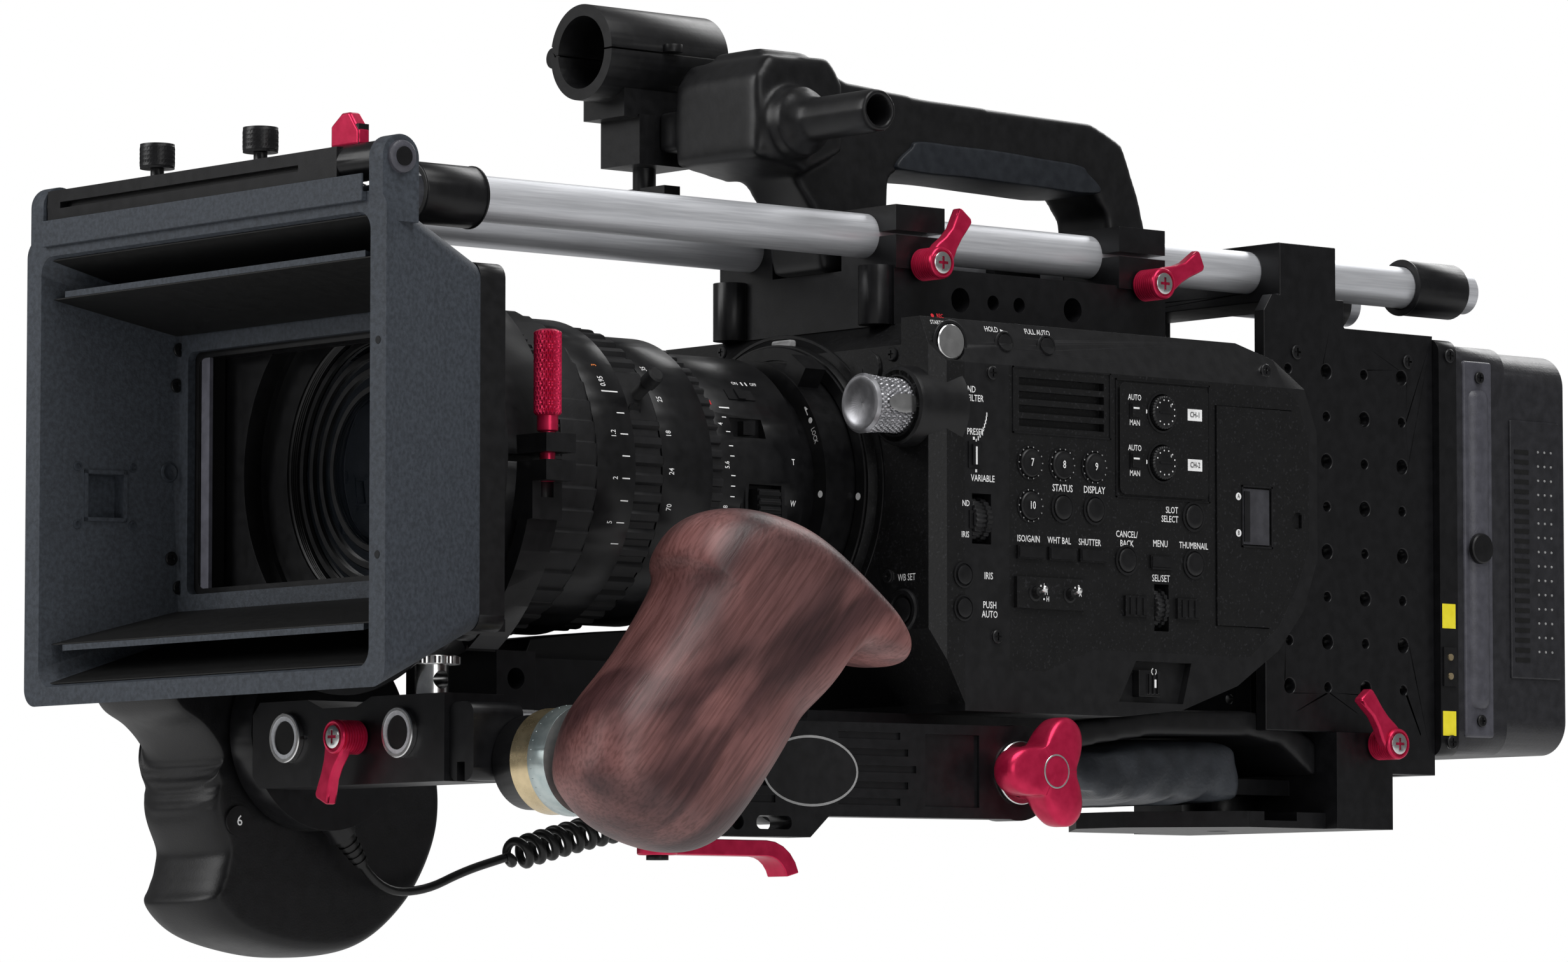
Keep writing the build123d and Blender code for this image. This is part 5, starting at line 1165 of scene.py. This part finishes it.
def hood_details():
    # square accessory seat and round boss on the inside of the right wall
    along = Vector((HOOD_SLOPE, 1.0, 0.0)).normalized()
    shapes = [turned(on_hood_wall(-404.5, 112.5), HOOD_WALL,
                     [(0.0, 3.4), (0.9, 3.2), (1.1, 2.6), (0.3, 1.4), (0.2, 0.2)], 32)]

    def seat(dy, dz):
        return on_hood_wall(HOOD_SEAT_Y, HOOD_SEAT_Z) + along * dy + Z_AXIS * dz
    for dy, dz, half_y, half_z in ((-6.8, 0.0, 0.6, 8.4), (6.8, 0.0, 0.6, 8.4),
                                   (0.0, -7.8, 7.4, 0.6), (0.0, 7.8, 7.4, 0.6)):
        shapes.append(slab([seat(dy + u * half_y, dz + v * half_z) for u, v in (
            (-1, -1), (1, -1), (1, 1), (-1, 1))], HOOD_WALL * 0.8))
    for dy, dz in ((-9.6, 9.5), (9.6, 9.5), (-9.6, -9.5), (9.6, -9.5)):
        shapes.append(turned(seat(dy, dz), HOOD_WALL,
                             [(0.0, 1.6), (0.5, 1.5), (0.55, 0.9), (0.1, 0.8)], 20))
    add_piece("hood_wall_fittings", HOOD, shapes)
    add_piece("filter_frame_edge", FRAME_GREY,
              [box((-69.0, -397.6, 72.4), (-64.6, -396.2, 151.6))])
    rails = [box((-71.8, -397.7, 72.4), (-69.4, -396.4, 151.6))]
    rails += [box((x - 4.7, -388.8, 73.6), (x + 4.7, -387.9, 150.4)) for x in (-66.5, 66.5)]
    rails += [box((-65.6, -388.6, 74.2), (-63.8, -387.4, 149.8)),
              box((-62.6, -388.8, 74.2), (-60.4, -387.2, 149.8))]
    add_piece("filter_frame_rails", TRIM, rails)
    strip = add_piece("hood_top_strip", HOOD,
                      [box((-87.0, -446.0, 186.6), (87.0, -436.0, 189.8))])
    round_edges(strip, 0.8)
    # raised lip along the hood's upper rim, in front of the bar
    lip = [(-449.8, 184.5), (-449.8, 193.0), (-449.0, 193.0), (-449.0, 187.4), (-447.6, 187.4),
           (-447.6, 184.5)]
    rim = add_piece("hood_rim_lip", HOOD,
                    [slab([(-86.5, y, z) for y, z in lip], (173.0, 0, 0))])
    round_edges(rim, 0.3)
    linings = []
    for front, back, lift in (((87.0, -444.0, 167.9), (77.5, -402.2, 157.9), -0.4),
                              ((87.0, -444.0, 54.6), (77.5, -402.2, 66.1), 0.4),
                              ((87.6, -446.0, 180.4), (76.2, -402.0, 166.5), -0.4),
                              ((87.6, -446.0, 41.7), (76.2, -402.0, 57.5), 0.4)):
        linings.append(slab([(-front[0], *front[1:]), front, back, (-back[0], *back[1:])],
                            (0.0, 0.0, lift)))
    add_piece("baffle_linings", DEEP, linings)
    add_piece("ear_screws", BATTERY_GREY, [
        turned((side * 95.0, -441.0, 198.0), X_AXIS * side,
               [(0.0, 5.2), (1.2, 5.0), (1.6, 4.4), (1.6, 2.6), (0.6, 2.2), (0.6, 0.2)], 36)
        for side in (-1, 1)])
    # the rim's dimples as small dark discs: their darkness is painted shade
    add_piece("rim_dimples", HOOD_DIMPLE_SHADE, [
        turned((93.0, -448.05, z), -Y_AXIS, [(0.0, 1.3), (0.15, 1.2), (0.2, 0.2)], 16)
        for z in (141.0, 75.0)])


def flag_knobs():
    rows = [(0.0, 3.6), (0.4, 5.2), (0.9, 5.7)]
    rows += [(at, 5.75) for at in rows_between(1.2, 6.8, 0.35)]
    rows += [(7.3, 5.6), (8.1, 5.0), (8.15, 3.0), (7.9, 0.2)]
    add_piece("flag_thumb_knobs", ANODISED, [
        turned((x, -441.0, 206.0), Z_AXIS, rows, 90, knurl(30, 1.4, 0.25, 1.0, 6.9))
        for x in (-34.0, 22.0)], "flag_bar", 40.0)
    wing = [(61.8, 203.4), (76.2, 203.4), (76.2, 208.0), (71.4, 214.0), (67.4, 214.0),
            (61.8, 210.3)]
    piece = add_piece("flag_lock_wing", RED,
                      [slab([(x, -443.3, z) for x, z in wing], (0, 4.6, 0))], "flag_bar", 30.0)
    round_edges(piece, 0.9)


def casing_details():
    lamp = add_piece("front_lamp", LAMP,
                     [box((-8.0, -203.4, 160.6), (2.0, -200.2, 163.4))])
    round_edges(lamp, 0.9)
    # white balance button, then the release lever's bed and the lever
    add_piece("casing_fittings", TRIM, [
        turned((63.4, -206.0, 68.4), -Y_AXIS,
               [(0.0, 7.2), (0.8, 7.2), (1.4, 6.6), (1.5, 5.4), (0.3, 5.0), (0.2, 4.4),
                (1.0, 4.2), (1.3, 3.6), (1.3, 0.2)], 48),
        box((38.0, -207.4, 134.0), (44.0, -206.0, 150.0)),
        box((39.4, -208.2, 140.0), (42.6, -207.0, 148.0))])
    add_piece("mount_collar_rings", RING, [
        lens_turned(tube_profile(-206.6, -205.9, 52.5, 53.6, 0.2), 128),
        lens_turned(tube_profile(-210.9, -209.9, 44.8, 49.4, 0.4), 128)])
    ink_piece("casing_lettering", WHITE, [
        text(flat((64.8, -206.15, 79.2)), "WB SET", 2.3),
        dot(flat((45.8, -210.95, 107.0)), 1.25),
        text(flat((36.0, -206.15, 142.0), (0.35, 0.0, -0.94), (0.94, 0.0, 0.35)), "RELEASE", 1.9)])
    ink_piece("record_lettering", RED_INK,
              [text(leaning(-197.0, 166.4), "REC", 1.5), dot(leaning(-200.4, 166.4), 0.7)])


def lens_details():
    focus_r, zoom_r, iris_r = 52.15, 48.15, 44.15
    ink = [text(around_lens(33.0, -319.6, focus_r), "0.95", 2.2),
           bar(around_lens(28.6, -318.0, focus_r), 0.25, 3.4)]
    ink += [bar(around_lens(20.0 - step * 8.0, -316.0, focus_r), 0.2, 1.6) for step in range(7)]
    # distances, focal lengths, then the iris scale
    for y, r, cap, numbers in (
            (-320.4, focus_r, 2.0, ((12.0, "1.2"), (-4.0, "2"), (-20.0, "5"))),
            (-293.6, zoom_r, 2.1, ((30.0, "25"), (15.0, "18"), (46.0, "35"), (0.0, "24"),
                                   (-14.0, "70"))),
            (-266.4, iris_r, 1.9, ((23.5, "4"), (5.0, "5.6"), (-13.0, "8")))):
        ink += [text(around_lens(angle, y, r), number, cap) for angle, number in numbers]
    ink += [bar(around_lens(angle, -264.0, iris_r), 0.18, 0.9)
            for angle in (27.0, 20.0, 13.5, 9.0, 0.5, -4.0, -8.5)]
    ink.append(bar(around_lens(32.0, -262.4, iris_r), 0.28, 2.2))
    # the marks of the iris switch and the rocker
    for angle, y, word, cap in ((47.5, -251.5, "ON", 1.5), (47.5, -243.4, "OFF", 1.5),
                                (8.0, -237.6, "T", 2.0), (-10.0, -237.6, "W", 2.0)):
        ink.append(text(on_barrel(angle, y, iris_r), word, cap))
    ink += [bar(on_barrel(47.5, y, iris_r), 0.3, 0.9) for y in (-248.4, -246.6)]
    ink_piece("lens_lettering", WHITE, ink)
    ink_piece("iris_index_mark", RED_INK,
              [bar(around_lens(34.4, -267.6, iris_r), 0.9, 0.3)])
    ink_piece("feet_numbers", ORANGE_INK,
              [text(around_lens(40.5, -319.6, focus_r), "3", 2.0)])
    lock_y = -223.65
    arrow = flat((34.0, lock_y, 135.6), (0.5, 0.0, -0.87), (0.87, 0.0, 0.5))
    ink_piece("lock_lettering", WHITE, [
        text(flat((38.2, lock_y, 127.2), (0.36, 0.0, -0.93), (0.93, 0.0, 0.36)), "LOCK", 1.9),
        dot(flat((36.2, lock_y, 132.4)), 1.0), dot(flat((41.2, lock_y, 107.4)), 1.2),
        bar(arrow, 1.6, 0.2), patch([arrow(-1.8, 0.2), arrow(-0.2, 0.2), arrow(-0.2, 1.1)])],
        "lock_ring")
    ribs = []
    for step in range(8):
        rise = step * 2.66 - 9.3
        ribs.append(turned((46.1 - (rise / 22.0) ** 2 * 3.0, -254.6, 97.0 + rise), Y_AXIS,
                           [(0.0, 0.5), (0.2, 0.85), (9.0, 0.85), (9.2, 0.5)], 16))
    add_piece("rocker_ribs", TRIM, ribs, "zoom_rocker")
    # web that fills the space between the lens support and the barrel
    web = [(-346.0, 49.0), (-346.0, 52.8), (-327.0, 52.8), (-325.0, 57.0), (-312.0, 58.6),
           (-298.0, 60.0), (-276.0, 61.6), (-232.0, 64.0), (-232.0, 49.0)]
    support = add_piece("lens_support_web", ANODISED,
                        [slab([(-14.0, y, z) for y, z in web], (28.0, 0, 0))])
    round_edges(support, 0.8)
    bed = [box((42.9, y0, z0), (43.9, y1, z1)) for y0, y1, z0, z1 in (
        (-258.6, -257.4, 84.0, 110.2), (-242.8, -241.6, 84.0, 110.2),
        (-258.6, -241.6, 109.4, 110.6), (-258.6, -241.6, 83.4, 84.6))]
    start = radians(37.0)
    end = start + 0.10
    for low, high, r in ((-258.5, -247.0, 43.9), (-254.5, -251.5, 44.5)):
        corners = [lens_point(angle, y, r) for angle, y in (
            (start, low), (start, high), (end, high), (end, low))]
        bed.append(slab(corners, Vector((cos(start), 0, sin(start))) * 0.5))
    add_piece("rocker_frame", TRIM, bed)


screws_on_rig()
hood_details()
flag_knobs()
casing_details()
lens_details()


# ---------------------------------------------------------------- side arm, grip joint, bracket
def arm_details():
    def oval(x, half_y, half_z):
        return [(x, -258.0 + half_y * cos(angle), 13.6 + half_z * sin(angle))
                for angle in angles(48)]
    ink_piece("arm_badge_outline", GREY_INK,
              [(oval(76.12, 20.5, 11.6) + oval(76.12, 19.7, 10.8), band(0, 48, 48))], "side_arm")
    ink_piece("arm_badge", SMOOTH, [patch(oval(76.05, 19.7, 10.8))], "side_arm")
    add_piece("rosette_gold_ring", GOLD, [
        turned((79.0, JOINT_Y, JOINT_Z), X_AXIS, tube_profile(-3.4, 6.4, 14.0, 16.8, 0.6), 72,
               loop=True)], "side_arm")

    def toothed(radius, angle, along):
        return radius - (0.6 * abs(sin(angle * 18)) if radius > 16.0 else 0.0)
    add_piece("rosette_teeth", PALE_BLUE, [
        turned((85.9, JOINT_Y, JOINT_Z), X_AXIS,
               [(0.0, 5.2), (0.0, 17.4), (1.6, 17.6), (2.0, 17.0), (2.1, 5.2)], 144, toothed,
               loop=True)], "wood_grip")
    add_piece("rod_end_rings", POLISHED, [
        turned((x, -392.2, 24.0), Y_AXIS, tube_profile(0.0, 2.4, 6.9, 8.1, 0.3), 56, loop=True)
        for x in (-ROD_X, ROD_X)])
    add_piece("rod_end_plugs", DEEP, [
        turned((x, -391.6, 24.0), Y_AXIS, [(0.0, 6.4), (0.4, 6.5), (6.0, 6.5)], 40)
        for x in (-ROD_X, ROD_X)])

    def rim(radius, angle, along):
        return radius - (0.35 * (0.5 + 0.5 * cos(angle * 40)) if radius > 8.5 else 0.0)
    add_piece("post_knurled_disc", POLISHED, [
        turned((30.0, -378.0, 45.9), Z_AXIS,
               [(0.0, 8.0), (0.2, 9.2), (2.4, 9.2), (2.8, 8.4), (2.8, 0.2)], 160, rim)])
    ink_piece("grip_button_number", WHITE,
              [text(flat((-65.0, -384.0, -2.0), Y_AXIS), "6", 3.4, 1.0)], "grip_button")


def rod_details():
    add_piece("cap_lips", ANODISED, [
        turned((x, y, 197.0), Y_AXIS, tube_profile(-0.3, 0.6, 8.0, 10.25, 0.2), 48, loop=True)
        for y in (-363.4, 64.2) for x in (-ROD_X, ROD_X)])
    lid = add_piece("handle_top_lid", TRIM,
                    [box((-10.0, -226.0, 257.0), (10.0, -204.0, 259.4))])
    round_edges(lid, 1.0)


def battery_details():
    """Tall bar, panel, dots and vents on the battery's left side, labels on its plate."""
    def on_battery(name, finish, shapes, crease=30.0):
        return add_piece(name, finish, shapes, "battery", crease)
    column = [(0.0, 5.4), (2.0, 6.8), (4.0, 7.2), (112.0, 7.2), (114.0, 6.8), (116.0, 5.4)]
    round_edges(on_battery("battery_side_ribs", BATTERY_GREY, [
        box((47.4, 76.0, 34.0), (49.8, 91.0, 170.0)),
        turned((44.8, 83.5, 44.0), Z_AXIS, column, 64)]), 1.6)
    on_battery("battery_bar_screws", TRIM,
               [screw_head((50.2, 83.5, z), X_AXIS, 2.2, 0.8) for z in (40.0, 164.0)], 25.0)
    round_edges(on_battery("battery_side_panel", BATTERY,
                           [box((47.4, 101.0, 56.0), (48.9, 127.0, 150.0))]), 0.7)
    on_battery("battery_dots", GREY_INK, [
        turned((48.85, 115.5 + col * 3.4, 66.0 + row * 5.2), X_AXIS,
               [(0.0, 0.5), (0.25, 0.42), (0.3, 0.1)], 10)
        for row in range(15) for col in range(3)])
    on_battery("battery_vents", DEEP, [
        box((48.7, 103.0, 62.0 + row * 3.6), (49.1, 110.5, 63.6 + row * 3.6))
        for row in range(22)])
    on_battery("battery_round_cap", TRIM, [
        turned((51.6, 82.0, 102.0), X_AXIS, [(0.0, 5.6), (1.4, 5.4), (1.8, 4.9), (1.8, 0.2)], 40)])
    ink_piece("plate_labels", YELLOW,
              [bar(flat((50.12, 67.2, z), Y_AXIS), 3.4, 4.4) for z in (77.2, 38.7)])
    add_piece("power_socket", TRIM, [box((49.6, 64.0, 52.0), (50.7, 70.6, 66.0))])
    add_piece("power_socket_pins", GOLD, [
        turned((50.6, 67.3, z), X_AXIS, [(0.0, 1.3), (0.5, 1.2), (0.55, 0.2)], 20)
        for z in (55.6, 62.4)])


arm_details()
rod_details()
battery_details()


# ---------------------------------------------------------------- shoulder pad by cloth simulation
def baked_mesh(item):
    return bpy.data.meshes.new_from_object(
        item.evaluated_get(bpy.context.evaluated_depsgraph_get()))


def inflate(item, mesh, most):
    """Blows the mesh up by cloth pressure, moving no point further than most."""
    rest = [vertex.co.copy() for vertex in mesh.vertices]
    cloth = item.modifiers.new("cloth", "CLOTH")
    setting = cloth.settings
    setting.quality = 6
    setting.mass = 0.3
    setting.tension_stiffness = 12.0
    setting.compression_stiffness = 12.0
    setting.shear_stiffness = 4.0
    setting.bending_stiffness = 0.3
    setting.use_pressure = True
    setting.uniform_pressure_force = 4.0
    setting.effector_weights.gravity = 0.0
    cloth.point_cache.frame_start = 1
    cloth.point_cache.frame_end = 20
    scene = bpy.context.scene
    for step in range(1, 21):
        scene.frame_set(step)
    blown = baked_mesh(item)
    item.modifiers.clear()
    for vertex, source, home in zip(mesh.vertices, blown.vertices, rest):
        shift = source.co - home
        if shift.length > most:
            shift = shift.normalized() * most
        vertex.co = home + shift
    scene.frame_set(1)


def shoulder_cushion():
    outline = [(-118.0, 20.5), (-113.0, 21.8), (-97.0, 25.2), (-72.0, 28.8), (-28.0, 29.6),
               (-26.0, 25.0), (-26.0, 12.5), (-29.5, 9.2), (-95.0, 8.0), (-110.0, 12.6)]
    pad = add_piece("shoulder_cushion", FOAM,
                    [slab([(-42.0, y, z) for y, z in outline], (84.0, 0, 0))])
    remesh = pad.modifiers.new("even_mesh", "REMESH")
    remesh.mode = "VOXEL"
    remesh.voxel_size = 5.0 * MM
    bpy.context.view_layer.update()
    even = baked_mesh(pad)
    pad.modifiers.clear()
    pad.data = even
    inflate(pad, even, 1.8 * MM)
    # pressed channels that slant across the pad's underside and sides; its top stays plain
    seams = (-104.0, -90.0, -76.0, -62.0, -48.0, -34.0)
    slant, middle_z, half_width, seam_depth = 0.9, 18.0, 3.4, 3.0
    even.update()
    normals = [vertex.normal.copy() for vertex in even.vertices]
    for vertex, normal in zip(even.vertices, normals):
        if normal.z > 0.6:
            continue
        at = vertex.co.y / MM - slant * (vertex.co.z / MM - middle_z)
        depth = sum(seam_depth * exp(-((at - seam) / half_width) ** 2) for seam in seams)
        vertex.co -= normal * depth * MM
    even.shade_smooth()
    even.materials.clear()
    even.materials.append(FOAM)
    add_subdivision(pad, 1)
    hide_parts("shoulder_pad")


shoulder_cushion()


# ---------------------------------------------------------------- studio
def studio():
    scene = bpy.context.scene
    scene.view_settings.view_transform = "Standard"
    world = bpy.data.worlds.new("studio_world")
    world.use_nodes = True
    tree = world.node_tree
    # the camera sees a white backdrop, brighter than the light it gives
    white = (1.0, 1.0, 1.0, 1.0)
    ambient = 0.16
    back = tree.nodes["Background"]
    back.inputs["Color"].default_value = white
    back.inputs["Strength"].default_value = ambient
    seen = add_node(tree, "Background", Color=white, Strength=1.0)
    mix = add_node(tree, "MixShader")
    tree.links.new(add_node(tree, "LightPath").outputs["Is Camera Ray"], mix.inputs["Fac"])
    tree.links.new(back.outputs["Background"], mix.inputs[1])
    tree.links.new(seen.outputs["Background"], mix.inputs[2])
    tree.links.new(mix.outputs["Shader"], tree.nodes["World Output"].inputs["Surface"])
    scene.world = world
    for name, place, size, power in (
            ("key_light", (1.2, -0.4, 2.0), 1.5, 38.0),
            ("front_light", (-0.9, -2.2, 1.1), 1.4, 32.0),
            ("rear_light", (-0.9, 1.9, 1.7), 1.4, 26.0),
            ("side_light", (2.4, -0.9, 0.5), 1.0, 9.0)):
        data = bpy.data.lights.new(name, "AREA")
        data.shape = "SQUARE"
        data.size = size
        data.energy = power
        lamp = bpy.data.objects.new(name, data)
        lamp.location = place
        aim(lamp, Vector((0.0, -0.15, 0.1)) - lamp.location)
    mesh = bpy.data.meshes.new("studio_floor")
    half = 14.0
    floor_z = -0.35
    mesh.from_pydata([(x * half, y * half, floor_z) for x, y in (
        (-1, -1), (1, -1), (1, 1), (-1, 1))], [], [(0, 1, 2, 3)])
    mesh.materials.append(neutral("floor_paper", 0.80, 0.84, 0.8, scale=40.0))
    floor = bpy.data.objects.new("studio_floor", mesh)
    scene.collection.objects.link(floor)


studio()
